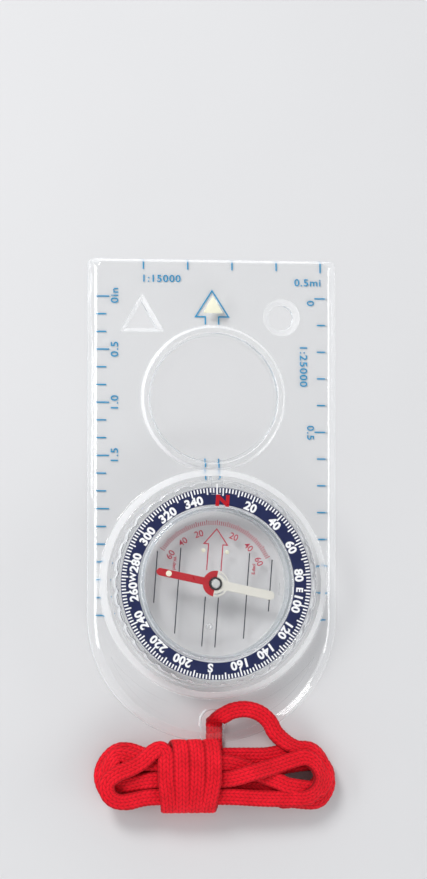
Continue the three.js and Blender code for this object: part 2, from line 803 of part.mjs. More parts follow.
const dial = new THREE.Group();
dial.position.set(0, DIAL_Y, 0);
dial.rotation.z = DIAL_TURN;
compass.add(dial);
piece(dial, "bezel_ring", bezelRing(), CLEAR);
piece(dial, "degree_scale_ring", scaleRing(), NAVY);
piece(dial, "retaining_ring", retainingRing(), STEEL);
piece(dial, "capsule_top", capsuleTop(), LENS_CLEAR);
piece(dial, "capsule_floor", capsuleFloor(), LENS_CLEAR);
piece(dial, "capsule_seal", capsuleSeal(), SILICONE);
piece(dial, "pivot_pin", pivotPin(), STEEL);
piece(dial, "filler_plug", fillerPlug(), SILICONE);
piece(dial, "orienting_dot_left", orientingDot(-1), CREAM);
piece(dial, "orienting_dot_right", orientingDot(1), CREAM);

const needle = new THREE.Group();
needle.position.set(0, DIAL_Y, 0);
needle.rotation.z = NEEDLE_TURN;
compass.add(needle);
piece(needle, "needle_pointer", pointer(), POINTER_PAINT);
piece(needle, "needle_magnet", magnet(), MAGNET_STEEL);
piece(needle, "needle_hub", needleHub(), BLACK);
piece(needle, "jewel_cup", jewelCup(), JEWEL);
piece(needle, "needle_dot", needleDot(), CREAM);

const upperStrand = strand(UPPER_ROUTE, STRAND_DIAMETER, STRAND_DIAMETER, UPPER_STEPS);
const lowerStrand = strand(LOWER_ROUTE, BRAID_WIDTH, BRAID_THICKNESS, LOWER_STEPS);
piece(compass, "lanyard_upper_strand", upperStrand, BRAID_RED);
piece(compass, "lanyard_lower_strand", lowerStrand, BRAID_RED);
piece(compass, "lanyard_hank", lanyardHank(), BRAID_RED);

export default compass;
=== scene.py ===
"""Looks of the baseplate compass: clear plastic, printed scales, a painted needle and a braided lanyard.

Shapes are built in millimetres, in the frame's own axes, and scaled to metres as they become pieces.
A part is a pair of vertices and faces. A profile is a list of (radius, height) points.
"""

from math import asin, cos, exp, pi, radians, sin, sqrt

import bmesh
import bpy
import numpy as np
from mathutils import Matrix, Vector


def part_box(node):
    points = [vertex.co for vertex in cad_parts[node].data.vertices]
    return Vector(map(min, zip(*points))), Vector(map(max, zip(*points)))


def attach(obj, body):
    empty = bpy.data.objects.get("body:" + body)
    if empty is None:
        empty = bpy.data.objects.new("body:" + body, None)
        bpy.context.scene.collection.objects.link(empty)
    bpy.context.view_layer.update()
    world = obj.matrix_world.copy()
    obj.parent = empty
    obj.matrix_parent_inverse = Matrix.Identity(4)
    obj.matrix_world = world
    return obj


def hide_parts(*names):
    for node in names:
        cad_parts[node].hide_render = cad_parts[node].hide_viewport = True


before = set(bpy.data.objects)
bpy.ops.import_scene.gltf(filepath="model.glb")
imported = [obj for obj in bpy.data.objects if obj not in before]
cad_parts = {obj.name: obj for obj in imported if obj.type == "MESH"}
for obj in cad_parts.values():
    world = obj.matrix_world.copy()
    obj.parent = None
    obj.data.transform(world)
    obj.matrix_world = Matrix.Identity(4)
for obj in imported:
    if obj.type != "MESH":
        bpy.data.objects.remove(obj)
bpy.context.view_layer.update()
MM = 0.001
TINY = 1e-6


# ---- measures of CAD nodes, in millimetres ----


def box_mm(node):
    low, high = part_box(node)
    return np.array(low) / MM, np.array(high) / MM


def centre_mm(node):
    low, high = box_mm(node)
    return (low[:2] + high[:2]) / 2


def radius_mm(node):
    low, high = box_mm(node)
    return (high[0] - low[0]) / 2


def levels_mm(node):
    low, high = box_mm(node)
    return low[2], high[2]


# ---- places and sizes ----

PLATE_HALF_WIDTH = radius_mm("baseplate")
PLATE_TOP_Y = box_mm("baseplate")[1][1]
PLATE_THICKNESS = 2.6
END_CENTRE_Y = -PLATE_TOP_Y + PLATE_HALF_WIDTH
DIAL_CENTRE = centre_mm("bezel_ring")
LENS_CENTRE = centre_mm("magnifier_lens")
DIAL_TURN = radians(-4.24)
NEEDLE_TURN = radians(78)
INK_THICKNESS = 0.03
INCH = 25.4
TENTH_MILE = 160934.4


# ---- mesh helpers ----


def unit(vectors):
    """Vectors, or one of them, made one long."""
    return vectors / np.linalg.norm(vectors, axis=-1, keepdims=True)


def linked(name, data):
    made = bpy.data.objects.new(name, data)
    bpy.context.scene.collection.objects.link(made)
    return made


def face_outwards(mesh):
    bm = bmesh.new()
    bm.from_mesh(mesh)
    bmesh.ops.recalc_face_normals(bm, faces=bm.faces)
    bm.to_mesh(mesh)
    bm.free()


def mesh_of(parts):
    vertices, faces, start = [], [], 0
    for part_vertices, part_faces in parts:
        vertices.append(np.asarray(part_vertices, float).reshape(-1, 3))
        faces.extend(tuple(int(i) + start for i in face) for face in part_faces)
        start += len(vertices[-1])
    mesh = bpy.data.meshes.new("shape")
    mesh.from_pydata(np.concatenate(vertices).tolist(), [], faces)
    mesh.validate()
    return mesh


def evaluated(thing, *others):
    """A copy of an object's mesh with its modifiers applied, in place of the objects."""
    bpy.context.view_layer.update()
    graph = bpy.context.evaluated_depsgraph_get()
    mesh = bpy.data.meshes.new_from_object(thing.evaluated_get(graph))
    for used in (thing, *others):
        bpy.data.objects.remove(used)
    return mesh


def finished(name, shape, body, look, slot, *nodes, angle=32):
    """Makes a mesh, or a list of parts, into a piece that stands for those CAD nodes.

    Edges that turn by more than the angle, in degrees, stay sharp.
    """
    mesh = shape if isinstance(shape, bpy.types.Mesh) else mesh_of(shape)
    mesh.transform(Matrix.Scale(MM, 4))
    face_outwards(mesh)
    mesh.polygons.foreach_set("use_smooth", [True] * len(mesh.polygons))
    mesh.set_sharp_from_angle(angle=radians(angle))
    mesh.materials.clear()
    mesh.materials.append(look)
    piece = linked(name, mesh)
    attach(piece, body)
    if nodes:
        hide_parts(*nodes)
    return piece


def placed(part, centre=(0, 0), turn=0.0, level=0.0):
    vertices = np.array(part[0], float).reshape(-1, 3)
    c, s = cos(turn), sin(turn)
    x = vertices[:, 0] * c - vertices[:, 1] * s + centre[0]
    y = vertices[:, 0] * s + vertices[:, 1] * c + centre[1]
    return np.column_stack([x, y, vertices[:, 2] + level]), part[1]


def rounded(outline, radius, steps=4, closed=True, axis=True):
    """An outline whose corners are arcs of about that radius.

    With axis, the corners where x is 0 stay sharp, because a profile closes there on its axis.
    """
    points = [np.array(p, float) for p in outline]
    count = len(points)
    made = []
    for i, point in enumerate(points):
        to_before, to_after = points[i - 1] - point, points[(i + 1) % count] - point
        lengths = np.linalg.norm(to_before), np.linalg.norm(to_after)
        on_axis = axis and closed and abs(point[0]) < TINY
        at_end = not closed and i in (0, count - 1)
        if on_axis or at_end or min(lengths) < TINY:
            made.append(tuple(point))
            continue
        cut = min(radius, 0.45 * lengths[0], 0.45 * lengths[1])
        first = point + to_before / lengths[0] * cut
        last = point + to_after / lengths[1] * cut
        for k in range(steps + 1):
            t = k / steps
            made.append(tuple((1 - t) ** 2 * first + 2 * t * (1 - t) * point + t * t * last))
    return made


def revolved(profile, steps=256, radii_at=None):
    """A body of revolution from a closed profile. radii_at gives the radii round one of its rings."""
    vertices, rings, faces = [], [], []
    angles = np.arange(steps) * 2 * pi / steps
    for radius, height in profile:
        rings.append(len(vertices))
        if radius < TINY:
            vertices.append((0, 0, height))
            continue
        radii = radii_at(radius, angles) if radii_at else np.full(steps, radius)
        vertices += [(r * sin(a), r * cos(a), height) for r, a in zip(radii, angles)]
    for index, start in enumerate(rings):
        following = (index + 1) % len(rings)
        end = rings[following]
        pole, next_pole = profile[index][0] < TINY, profile[following][0] < TINY
        for i in range(0 if pole and next_pole else steps):
            j = (i + 1) % steps
            if pole:
                faces.append((start, end + i, end + j))
            elif next_pole:
                faces.append((start + i, end, start + j))
            else:
                faces.append((start + i, end + i, end + j, start + j))
    return vertices, faces


def ring_at(centre, profile, corner=0.0, steps=256):
    return placed(revolved(rounded(profile, corner) if corner else profile, steps), centre)


def band(inner, outer, low, high):
    return [(inner, low), (outer, low), (outer, high), (inner, high)]


def round_piece(
    name, profile, corner, body, look, slot, node, steps=256, place=(0, 0), turn=0.0, angle=32
):
    """A body of revolution as a piece, on the dial's axis or at a place on the dial or needle."""
    part = placed(ring_at(place, profile, corner, steps), DIAL_CENTRE, turn)
    finished(name, [part], body, look, slot, node, angle=angle)


def lofted(layers):
    """A closed body through [(outline, height), ...] with equal numbers of points."""
    return skinned([[(x, y, height) for x, y in outline] for outline, height in layers])


def skinned(layers):
    count = len(layers[0])
    vertices = [point for layer in layers for point in layer]
    top = (len(layers) - 1) * count
    faces = [tuple(range(count))[::-1], tuple(top + i for i in range(count))]
    for layer in range(len(layers) - 1):
        for i in range(count):
            a, b = layer * count + i, layer * count + (i + 1) % count
            faces.append((a, b, b + count, a + count))
    return vertices, faces


def joined_and_cut(body, *stages):
    """A part with other parts added to it, then cut from it, and so on in turn, as a mesh."""

    def loose(part):
        mesh = mesh_of([part])
        face_outwards(mesh)
        return linked("cutter", mesh)

    target = loose(body)
    tools = []
    for stage, parts in enumerate(stages):
        for part in parts:
            tools.append(loose(part))
            modifier = target.modifiers.new("cut", "BOOLEAN")
            modifier.operation = "DIFFERENCE" if stage % 2 else "UNION"
            modifier.object = tools[-1]
            modifier.solver = "MANIFOLD"
    return evaluated(target, *tools)


def arc(centre, radius, start, end, steps):
    """Points along an arc, both ends included, angles in radians from +X."""
    angles = np.linspace(start, end, steps + 1)
    return [(centre[0] + radius * cos(a), centre[1] + radius * sin(a)) for a in angles]


def rectangle(x, y, half_width, half_length):
    left, right, near, far = x - half_width, x + half_width, y - half_length, y + half_length
    return [(left, near), (right, near), (right, far), (left, far)]


def soft_triangle(radius, corner):
    corners = [(radius * cos(a), radius * sin(a)) for a in np.radians([90, 210, 330])]
    return rounded(corners, corner, 5, axis=False)


def bar(length, width, thickness=INK_THICKNESS):
    """A thin bar of ink lying along +Y, from its middle."""
    outline = rectangle(0, 0, width / 2, length / 2)
    return lofted([(outline, 0), (outline, thickness)])


def line_of_ink(points, width):
    """Ink along a broken line, with mitred corners."""
    points = [np.array(p, float) for p in points]
    left, right = [], []
    for i, point in enumerate(points):
        before = points[max(i - 1, 0)]
        after = points[min(i + 1, len(points) - 1)]
        first = point - before if i else after - point
        last = after - point if i < len(points) - 1 else first
        first, last = unit(first), unit(last)
        middle = unit(first + last)
        normal = np.array([-middle[1], middle[0]])
        reach = width / 2 / max(0.35, np.dot(normal, [-first[1], first[0]]))
        left.append(tuple(point + normal * reach))
        right.append(tuple(point - normal * reach))
    quads = [[right[i], right[i + 1], left[i + 1], left[i]] for i in range(len(points) - 1)]
    return [lofted([(quad, 0), (quad, INK_THICKNESS)]) for quad in quads]


def arrow_outline(stem, foot, neck, half, tip):
    """An arrow along +Y, open at its foot: half widths of its stem and head, and its three levels."""
    left = [(-stem, foot), (-stem, neck), (-half, neck)]
    return [*left, (0, tip), *((-x, y) for x, y in reversed(left))]


CAPITAL_HEIGHT = 0.73


def lettering(text, height, bold=0.0, spacing=1.0, widen=1.0):
    """Text as thin ink, centred on its own middle, its capitals that high."""
    curve = bpy.data.curves.new("text", "FONT")
    curve.body = text
    curve.size = height / CAPITAL_HEIGHT
    curve.offset = bold * height
    curve.space_character = spacing
    curve.resolution_u = 4
    curve.extrude = INK_THICKNESS / 2
    mesh = evaluated(linked("text", curve))
    vertices = np.array([v.co for v in mesh.vertices])
    faces = [tuple(p.vertices) for p in mesh.polygons]
    middle = (vertices[:, 0].min() + vertices[:, 0].max()) / 2
    vertices -= np.array([middle, height / 2, vertices[:, 2].min()])
    vertices[:, 0] *= widen
    bpy.data.meshes.remove(mesh)
    return vertices, faces


# ---- materials ----


class Nodes:
    """The nodes of a material or a world, with short ways to add and join them."""

    def __init__(self, tree):
        self.tree = tree

    def feed(self, socket, value):
        if isinstance(value, bpy.types.NodeSocket):
            self.tree.links.new(value, socket)
        elif value is not None:
            socket.default_value = value

    def add(self, kind, inputs, **settings):
        node = self.tree.nodes.new("ShaderNode" + kind)
        for setting, value in settings.items():
            setattr(node, setting, value)
        for name, value in inputs.items():
            self.feed(node.inputs[name], value)
        return node

    def maths(self, operation, *values):
        node = self.add("Math", {}, operation=operation)
        for socket, value in zip(node.inputs, values):
            self.feed(socket, value)
        return node.outputs["Value"]

    def times(self, first, second):
        return self.maths("MULTIPLY", first, second)

    def minus(self, first, second):
        return self.maths("SUBTRACT", first, second)

    def split(self, vector):
        return self.add("SeparateXYZ", {"Vector": vector}).outputs

    def noise(self, scale, detail=3.0, roughness=0.5):
        """Noise in the object's own metres."""
        place = self.add("TexCoord", {}).outputs["Object"]
        inputs = {"Vector": place, "Scale": scale, "Detail": detail, "Roughness": roughness}
        return self.add("TexNoise", inputs).outputs["Fac"]

    def ramp(self, value, low, high, start=0.3, end=0.7):
        node = self.add("ValToRGB", {"Fac": value})
        for element, position, colour in zip(node.color_ramp.elements, (start, end), (low, high)):
            element.position = position
            element.color = (*colour, 1)
        return node.outputs["Color"]

    def span(self, value, start=0.0, end=1.0, low=0.0, high=1.0, kind="LINEAR"):
        """A value from start to end mapped from low to high."""
        ends = {"From Min": start, "From Max": end, "To Min": low, "To Max": high}
        return self.add("MapRange", {"Value": value, **ends}, interpolation_type=kind).outputs["Result"]

    def mix(self, factor, first, second):
        inputs = {"Factor": factor, "A": first, "B": second}
        return self.add("Mix", inputs, data_type="RGBA").outputs["Result"]

    def bump(self, height, strength, distance):
        inputs = {"Strength": strength, "Distance": distance, "Height": height}
        return self.add("Bump", inputs).outputs["Normal"]

    def surface(self, inputs):
        """Sets the inputs of a material's own shader, and gives the shader."""
        shader = self.tree.nodes["Principled BSDF"]
        for name, value in inputs.items():
            self.feed(shader.inputs[name], value)
        return shader


def new_material(name):
    made = bpy.data.materials.new(name)
    made.use_nodes = True
    return made, Nodes(made.node_tree)


# How far a face may lean, by the upward share of its normal, before it counts as a slope or an upright wall.
SLOPE_FROM, SLOPE_FULL = 0.93, 0.45
UPRIGHT_FROM, UPRIGHT_FULL = 0.4, 0.1
PLASTIC_IOR = 1.49
SLOPE_ROUGHNESS = 0.12


def clear_plastic(name, tint, painted_wall_shade, roughness, veil, painted_edge_highlight):
    """Clear moulded plastic, polished when flat, frosted pale on its rounded edges as a painted highlight
    and darkened on its walls as painted shade.

    Light on its way to other surfaces passes straight on, dimmed by the veil.
    """
    made, nodes = new_material(name)
    normal = nodes.add("NewGeometry", {}).outputs["True Normal"]
    upward = nodes.maths("ABSOLUTE", nodes.split(normal)["Z"])
    slope = nodes.span(upward, SLOPE_FROM, SLOPE_FULL)
    upright = nodes.span(upward, UPRIGHT_FROM, UPRIGHT_FULL)
    flow = nodes.noise(90)
    flat_tint = nodes.ramp(flow, tint, tuple(min(1, c + 0.008) for c in tint))
    handling = nodes.span(nodes.noise(420, 4), low=roughness * 0.4, high=roughness * 1.8)
    shader = nodes.surface({
        "IOR": PLASTIC_IOR,
        # On slopes the transmission gives way to the pale base colour: a painted highlight along rounded
        # edges.
        "Transmission Weight": nodes.minus(1.0, nodes.times(slope, painted_edge_highlight)),
        # Upright walls take a darker colour: painted shade.
        "Base Color": nodes.mix(upright, flat_tint, (*painted_wall_shade, 1)),
        "Roughness": nodes.maths("ADD", handling, nodes.times(slope, SLOPE_ROUGHNESS)),
        "Normal": nodes.bump(flow, 0.02, 0.0001),
    })
    path = nodes.add("LightPath", {}).outputs
    passing = nodes.maths("MAXIMUM", path["Is Shadow Ray"], path["Is Diffuse Ray"])
    clear = nodes.add("BsdfTransparent", {"Color": (veil, veil, veil, 1)}).outputs["BSDF"]
    either = nodes.add("MixShader", {"Fac": passing})
    nodes.feed(either.inputs[1], shader.outputs["BSDF"])
    nodes.feed(either.inputs[2], clear)
    nodes.feed(made.node_tree.nodes["Material Output"].inputs["Surface"], either.outputs["Shader"])
    return made


def painted(name, colour, roughness, variation=0.06, grain=1400.0, depth=0.00002, metallic=0.0):
    """Paint, print, moulded or metal: a colour with fine variation, grain and uneven gloss."""
    made, nodes = new_material(name)
    darker = tuple(c * (1 - variation) for c in colour)
    lighter = tuple(min(1, c * (1 + variation) + 0.002) for c in colour)
    fine = nodes.noise(grain)
    nodes.surface({
        "Base Color": nodes.ramp(nodes.noise(grain * 0.35, 4), darker, lighter),
        "Roughness": nodes.span(fine, low=roughness * 0.75, high=roughness * 1.25),
        "Metallic": metallic,
        "Normal": nodes.bump(fine, 0.25, depth),
    })
    return made


# The braid's stitches lie in rows round it, each row leaning the other way, at that pitch along it.
# Its UV map holds the distance along it, in spans, and the share of the way round it.
STITCH_PITCH = 1.1
STITCH_ROWS = 12
STITCH_LEAN = 0.8
UV_SPAN = 10.0


def braid_layout(nodes):
    return nodes.split(nodes.add("UVMap", {}, uv_map="braid_layout").outputs["UV"])


def stitch_pattern(nodes):
    """1 on the crown of each plaited stitch, 0 in the grooves between them."""
    layout = braid_layout(nodes)
    rows = nodes.times(layout["Y"], STITCH_ROWS)
    within = nodes.maths("FRACT", rows)
    parity = nodes.maths("MODULO", nodes.maths("FLOOR", rows), 2.0)
    lean = nodes.minus(1.0, nodes.times(parity, 2.0))
    slant = nodes.times(nodes.minus(within, 0.5), STITCH_LEAN)
    phase = nodes.maths("ADD", nodes.times(layout["X"], UV_SPAN / STITCH_PITCH), nodes.times(slant, lean))
    crown = nodes.maths("ABSOLUTE", nodes.maths("COSINE", nodes.times(phase, pi)))
    off_row = nodes.maths("ABSOLUTE", nodes.minus(within, 0.5))
    edge = nodes.maths("POWER", nodes.times(off_row, 2.0), 3.0)
    return nodes.times(nodes.maths("POWER", crown, 0.6), nodes.minus(1.0, edge))


def selvedge(nodes):
    """1 along the braid's two thin edges, where its colour is darkened as painted shade."""
    turned = nodes.maths("COSINE", nodes.times(braid_layout(nodes)["Y"], 2 * pi))
    return nodes.maths("POWER", nodes.maths("ABSOLUTE", turned), 14.0)


def braid_material(name):
    """Red polyester yarn plaited flat, with fine fibres along its stitches, painted shade in the grooves
    between them and painted shade along its two edges.
    """
    made, nodes = new_material(name)
    stitch = stitch_pattern(nodes)
    tone = nodes.noise(300, 4)
    crown = nodes.ramp(tone, (0.7, 0.002, 0.012), (0.88, 0.005, 0.02))
    # The grooves' darker colour is painted shade.
    groove = nodes.ramp(tone, (0.34, 0.001, 0.005), (0.46, 0.002, 0.01))
    stitched = nodes.mix(nodes.ramp(stitch, (0, 0, 0), (1, 1, 1), 0.05, 0.5), groove, crown)
    height = nodes.maths("ADD", stitch, nodes.times(nodes.noise(5200, 3, 0.65), 0.35))
    nodes.surface({
        # The braid's two edges are darkened towards a dark red: painted shade.
        "Base Color": nodes.mix(selvedge(nodes), stitched, (0.22, 0.001, 0.004, 1)),
        "Roughness": 0.7,
        "Specular IOR Level": 0.2,
        "Sheen Weight": 0.04,
        "Sheen Roughness": 0.4,
        "Sheen Tint": (1.0, 0.5, 0.5, 1),
        "Normal": nodes.bump(height, 0.6, 0.00016),
    })
    return made


# Painted shade for the upright walls of clear plastic: darker on the plate and lens, paler on the bezel.
DARK_WALL_SHADE, PALE_WALL_SHADE = (0.6, 0.65, 0.68), (0.9, 0.92, 0.93)
CLEAR = clear_plastic("clear_plate_acrylic", (0.988, 0.992, 0.992), DARK_WALL_SHADE, 0.012, 0.985, 0.52)
CLEAR_LENS = clear_plastic("clear_lens_acrylic", (0.992, 0.994, 0.994), DARK_WALL_SHADE, 0.004, 0.99, 0.4)
CLEAR_BEZEL = clear_plastic("clear_bezel_acrylic", (0.98, 0.985, 0.988), PALE_WALL_SHADE, 0.02, 0.975, 0.7)
INK_BLUE = painted("blue_ink", (0.0, 0.27, 0.52), 0.5)
INK_WHITE = painted("white_ink", (0.9, 0.9, 0.9), 0.45, 0.02)
INK_RED = painted("red_ink", (0.5, 0.012, 0.05), 0.5)
INK_BLACK = painted("black_ink", (0.012, 0.014, 0.03), 0.5)
NAVY = painted("navy_print", (0.007, 0.013, 0.07), 0.4, 0.1)
LUMINOUS = painted("cream_luminous", (0.86, 0.84, 0.66), 0.55, 0.04, 2200.0, 0.00004)
RED_PAINT = painted("red_needle_paint", (0.47, 0.003, 0.012), 0.3, 0.05)
WHITE_PAINT = painted("white_needle_paint", (0.74, 0.72, 0.65), 0.34, 0.03)
BLACK_PLASTIC = painted("black_moulding", (0.012, 0.013, 0.015), 0.32)
STEEL = painted("ground_steel", (0.62, 0.63, 0.65), 0.24, 0.08, 2600.0, 0.00001, 1.0)
MAGNET = painted("magnet_steel", (0.3, 0.31, 0.32), 0.42, 0.12, 1800.0, 0.00002, 1.0)
JEWEL = painted("jewel_cap", (0.55, 0.56, 0.55), 0.12, 0.04)
SILICONE = painted("grey_silicone", (0.42, 0.45, 0.47), 0.5, 0.05)
PALE_FLOOR = painted("pale_floor", (0.7, 0.7, 0.705), 0.75, 0.01, 40.0, 0.00001)
BRAID = braid_material("red_braid")


# ---- camera first, because the lanyard's room is judged by what it sees ----

# How far the camera leans to the left and towards the lanyard, in degrees, and its place in metres.
CAMERA_LEFT, CAMERA_NEAR = 8.5, 3.0
CAMERA_DISTANCE = 0.9
CAMERA_AIM = Vector((0.41, 14.6, 0.6)) * MM
SEEN_HEIGHT = 210.6 * MM


def place_camera():
    """A long lens almost straight above, a little left of and below the middle of the plate."""
    left, near = sin(radians(CAMERA_LEFT)), sin(radians(CAMERA_NEAR))
    toward = Vector((-left, -near, 1.0)).normalized()
    data = bpy.data.cameras.new("camera")
    data.sensor_width = 36.0
    data.lens = data.sensor_width * CAMERA_DISTANCE / SEEN_HEIGHT
    data.clip_start = 0.05
    data.clip_end = 20
    camera = linked("camera", data)
    up = Vector((0, 1, 0))
    up = (up - up.dot(toward) * toward).normalized()
    right = up.cross(toward)
    rotation = Matrix((right, up, toward)).transposed().to_4x4()
    camera.matrix_world = Matrix.Translation(CAMERA_AIM + toward * CAMERA_DISTANCE) @ rotation
    bpy.context.scene.camera = camera


# ---- the lanyard ----

BRAID_WIDTH = 4.0
BRAID_THICKNESS = 1.7
BIGHT_THICKNESS = 1.25
BRAID_STEP = 0.28
BRAID_SIDES = 32
HANK_LOW, HANK_HIGH = box_mm("lanyard_hank")
HANK_MIDDLE = (HANK_LOW[1] + HANK_HIGH[1]) / 2
HANK_RIGHT = HANK_HIGH[0]
FLAT = (0.0, 0.0, 1.0)

# The free stretches' points, as in the CAD source, then the way round the hank's right end.
# A pair is a place on the braid and the direction that its flat side faces there.
UPPER_ROUTE = [
    (2.2, -51.3, 4.2), (4.4, -50.2, 4.6), (7.6, -49.8, 4.6),
    (10.8, -50.7, 4.7), (13.2, -52.8, 4.9), (14.6, -55.4, 5.2),
]
SLOT_ROUTE = [
    ((0.5, -58.9, 1.5), (0, -0.3, 1)), ((0.5, -57.6, 0.9), (0, -0.2, 1)),
    ((0.5, -56.0, 0.72), (0, 0, 1)), ((0.5, -54.2, 0.72), (0, 0, 1)),
    ((0.5, -53.0, 0.85), (0, -0.4, 1)), ((0.5, -52.3, 1.5), (0, -1, 0.6)),
    ((0.7, -52.1, 2.7), (0.2, -1, 0.3)), ((1.2, -51.8, 3.5), (-0.1, -0.5, 0.9)),
    ((2.2, -51.3, 4.2), (-0.2, 0, 1)), ((3.3, -50.7, 4.42), (-0.1, 0, 1)),
]
ENTRY_ROUTE = [
    ((17.6, -58.0, 4.6), (0.1, 0.3, 1)), ((21.4, -59.8, 3.6), (0.2, 0.4, 1)),
    ((25.2, -61.6, 2.6), (0.5, 0.5, 1)), ((HANK_RIGHT - 1.8, HANK_MIDDLE, 2.1), (0.6, 0, 1)),
    ((25.4, -69.6, 1.6), (0.4, -0.4, 1)),
]

# The loose strand from the last run, over the left lobe, to the first wrap, across from the hank's middle.
LINK_ROUTE = [
    ((-22.4, -5.9, 6.0), (-0.1, -0.3, 1)), ((-25.3, -4.4, 6.4), (-0.4, -0.1, 1)),
    ((-25.8, -1.5, 6.9), (-0.4, 0.1, 1)), ((-23.6, 0.6, 7.3), (-0.2, 0.2, 1)),
    ((-20.6, 1.9, 7.6), (0, 0.2, 1)), ((-17.6, 3.6, 7.8), (0, 0.2, 1)),
    ((-15.2, 5.7, 7.8), (0, 0.4, 1)), ((-13.2, 6.5, 7.7), (0, 0.5, 1)),
]

# Each layer's level in the lobes and under the wraps, and the run that humps over the others.
LAYERS = 3
LOBE_LEVELS = (1.15, 3.35, 5.5)
WAIST_LEVELS = (2.95, 4.95, 6.95)
CROSSING_RUN = (1, 2)
CROSSING_X = 8.5
CROSSING_LIFT = 1.7
CROSSING_SPREAD = 4.5

# Where each run lies across the hank: in the left lobe, under the wraps and in the right lobe.
COLUMNS = {1: (6.5, 4.7, 6.5), 2: (2.2, 1.55, 3.2), 3: (-2.2, -1.55, -4.2), 4: (-6.5, -4.7, -6.5)}
TOP_COLUMNS = {1: (-2.2, -0.8, 4.6), 3: (-6.2, -4.8, -5.6), 4: (5.2, 3.2, -3.2)}
RUN_ORDER = (4, 1, 3, 2)
RUN_STATIONS = (-17, -14.5, -12, -8, -4, 0, 4, 8, 12, 15.5, 18)

# How far each fold, from one column to the next, stays inside the hank's ends, and each layer inside
# the one below it.
FOLD_INSET = {(4, 1): 3.0, (1, 3): 2.6, (3, 2): 7.3, (2, 4): 1.6}
LAYER_INSET = 0.7
FOLD_SHARES = (-0.38, -0.2, 0.0, 0.2, 0.38)
SMALLEST_FOLD = 3.4
FOLD_POINTEDNESS = 1.15
FOLD_LEAN = 0.8
WAVINESS = 0.35
UNEVENNESS = 0.2

WRAP_FROM_X = -12.2
WRAP_PITCH = 3.8
WRAP_FIRST, WRAP_LAST = -0.11, 3.62
WRAP_POINTS = 62
WRAP_HALF_WIDTH = 7.95
WRAP_HALF_HEIGHT = 3.95
WRAP_LEVEL = 4.95
WRAP_MIDDLE_X = WRAP_FROM_X + 1.5 * WRAP_PITCH
WRAP_SLANT = 0.19
WRAP_BUNCHING = 0.2
LEAVING_FROM, LEAVING_TURNS = 3.2, 0.42


def smooth(t):
    t = min(1.0, max(0.0, t))
    return t * t * (3 - 2 * t)


def waist(x, layer):
    """1 under the wraps, 0 out in the lobes. The top layer fans out slowly, so that its runs cross."""
    right = (21 - x) / 18 if layer == LAYERS - 1 else smooth((22 - x) / 10)
    return smooth((x + 24) / 9) * min(1.0, max(0.0, right))


def columns_of(layer):
    return TOP_COLUMNS if layer == LAYERS - 1 else COLUMNS


def hank_point(x, column, layer, wobble):
    """A point of a run: spread out in the lobes, squeezed under the wraps."""
    w = waist(x, layer)
    left, middle, right = columns_of(layer)[column]
    lobe = left if x < -6 else right
    across = lobe * (1 - w) + middle * w
    level = LOBE_LEVELS[layer] * (1 - w) + WAIST_LEVELS[layer] * w
    if (column, layer) == CROSSING_RUN:
        level += CROSSING_LIFT * exp(-(((x - CROSSING_X) / CROSSING_SPREAD) ** 2))
    across += (1 - w) * WAVINESS * sin(0.21 * x + wobble)
    level += UNEVENNESS * (1 - w) * sin(0.3 * x + 2.1 * wobble)
    return (x, HANK_MIDDLE + across, level)


def run(column, layer, rightward, wobble):
    stations = RUN_STATIONS if rightward else RUN_STATIONS[::-1]
    return [(hank_point(x, column, layer, wobble), FLAT) for x in stations]


def fold(side, start, end, reach, wobble):
    """The turn at a lobe, from one (across, level) to another, leaning outwards."""
    centre, radius = (start[0] + end[0]) / 2, abs(start[0] - end[0]) / 2
    bulge = max(radius, SMALLEST_FOLD)
    turn = 1 if start[0] > end[0] else -1
    points = []
    for t in FOLD_SHARES:
        angle = t * pi
        x = side * (reach - bulge * (1 - cos(angle)) * FOLD_POINTEDNESS)
        y = HANK_MIDDLE + centre - turn * bulge * sin(angle)
        share = t + 0.5
        z = start[1] * (1 - share) + end[1] * share + UNEVENNESS * sin(3 * t + wobble)
        lean = FOLD_LEAN * cos(angle)
        normal = (side * cos(angle) * lean, -turn * sin(angle) * lean, 1.0)
        points.append(((x, y, z), normal))
    return points


def runs_and_folds():
    """The runs of all the layers, from the lowest up, with a fold after each but the last."""
    order = [(column, layer) for layer in range(LAYERS) for column in RUN_ORDER][:-1]
    route = []
    for index, (column, layer) in enumerate(order):
        rightward = index % 2 == 1
        route += run(column, layer, rightward, 0.9 * index)
        if index + 1 < len(order):
            next_column, next_layer = order[index + 1]
            reach = HANK_RIGHT - FOLD_INSET[column, next_column] - LAYER_INSET * layer
            lobe = 2 if rightward else 0
            start = (columns_of(layer)[column][lobe], LOBE_LEVELS[layer])
            end = (columns_of(next_layer)[next_column][lobe], LOBE_LEVELS[next_layer])
            route += fold(1 if rightward else -1, start, end, reach, 0.7 * index)
    return route


def wraps():
    """The turns round the waist, bunched together at the edge away from the plate."""
    points = []
    slot_x = SLOT_ROUTE[0][0][0]
    for turns in np.linspace(WRAP_FIRST, WRAP_LAST, WRAP_POINTS):
        sine, cosine = sin(turns * 2 * pi), cos(turns * 2 * pi)
        x = WRAP_FROM_X + WRAP_PITCH * (turns - WRAP_SLANT * sine)
        x = WRAP_MIDDLE_X + (x - WRAP_MIDDLE_X) * (1 - WRAP_BUNCHING * max(0, sine))
        x -= (x - slot_x) * smooth((turns - LEAVING_FROM) / LEAVING_TURNS)
        place = (x, HANK_MIDDLE - WRAP_HALF_WIDTH * sine, WRAP_LEVEL + WRAP_HALF_HEIGHT * cosine)
        points.append((place, (0, -sine / WRAP_HALF_WIDTH, cosine / WRAP_HALF_HEIGHT)))
    return points


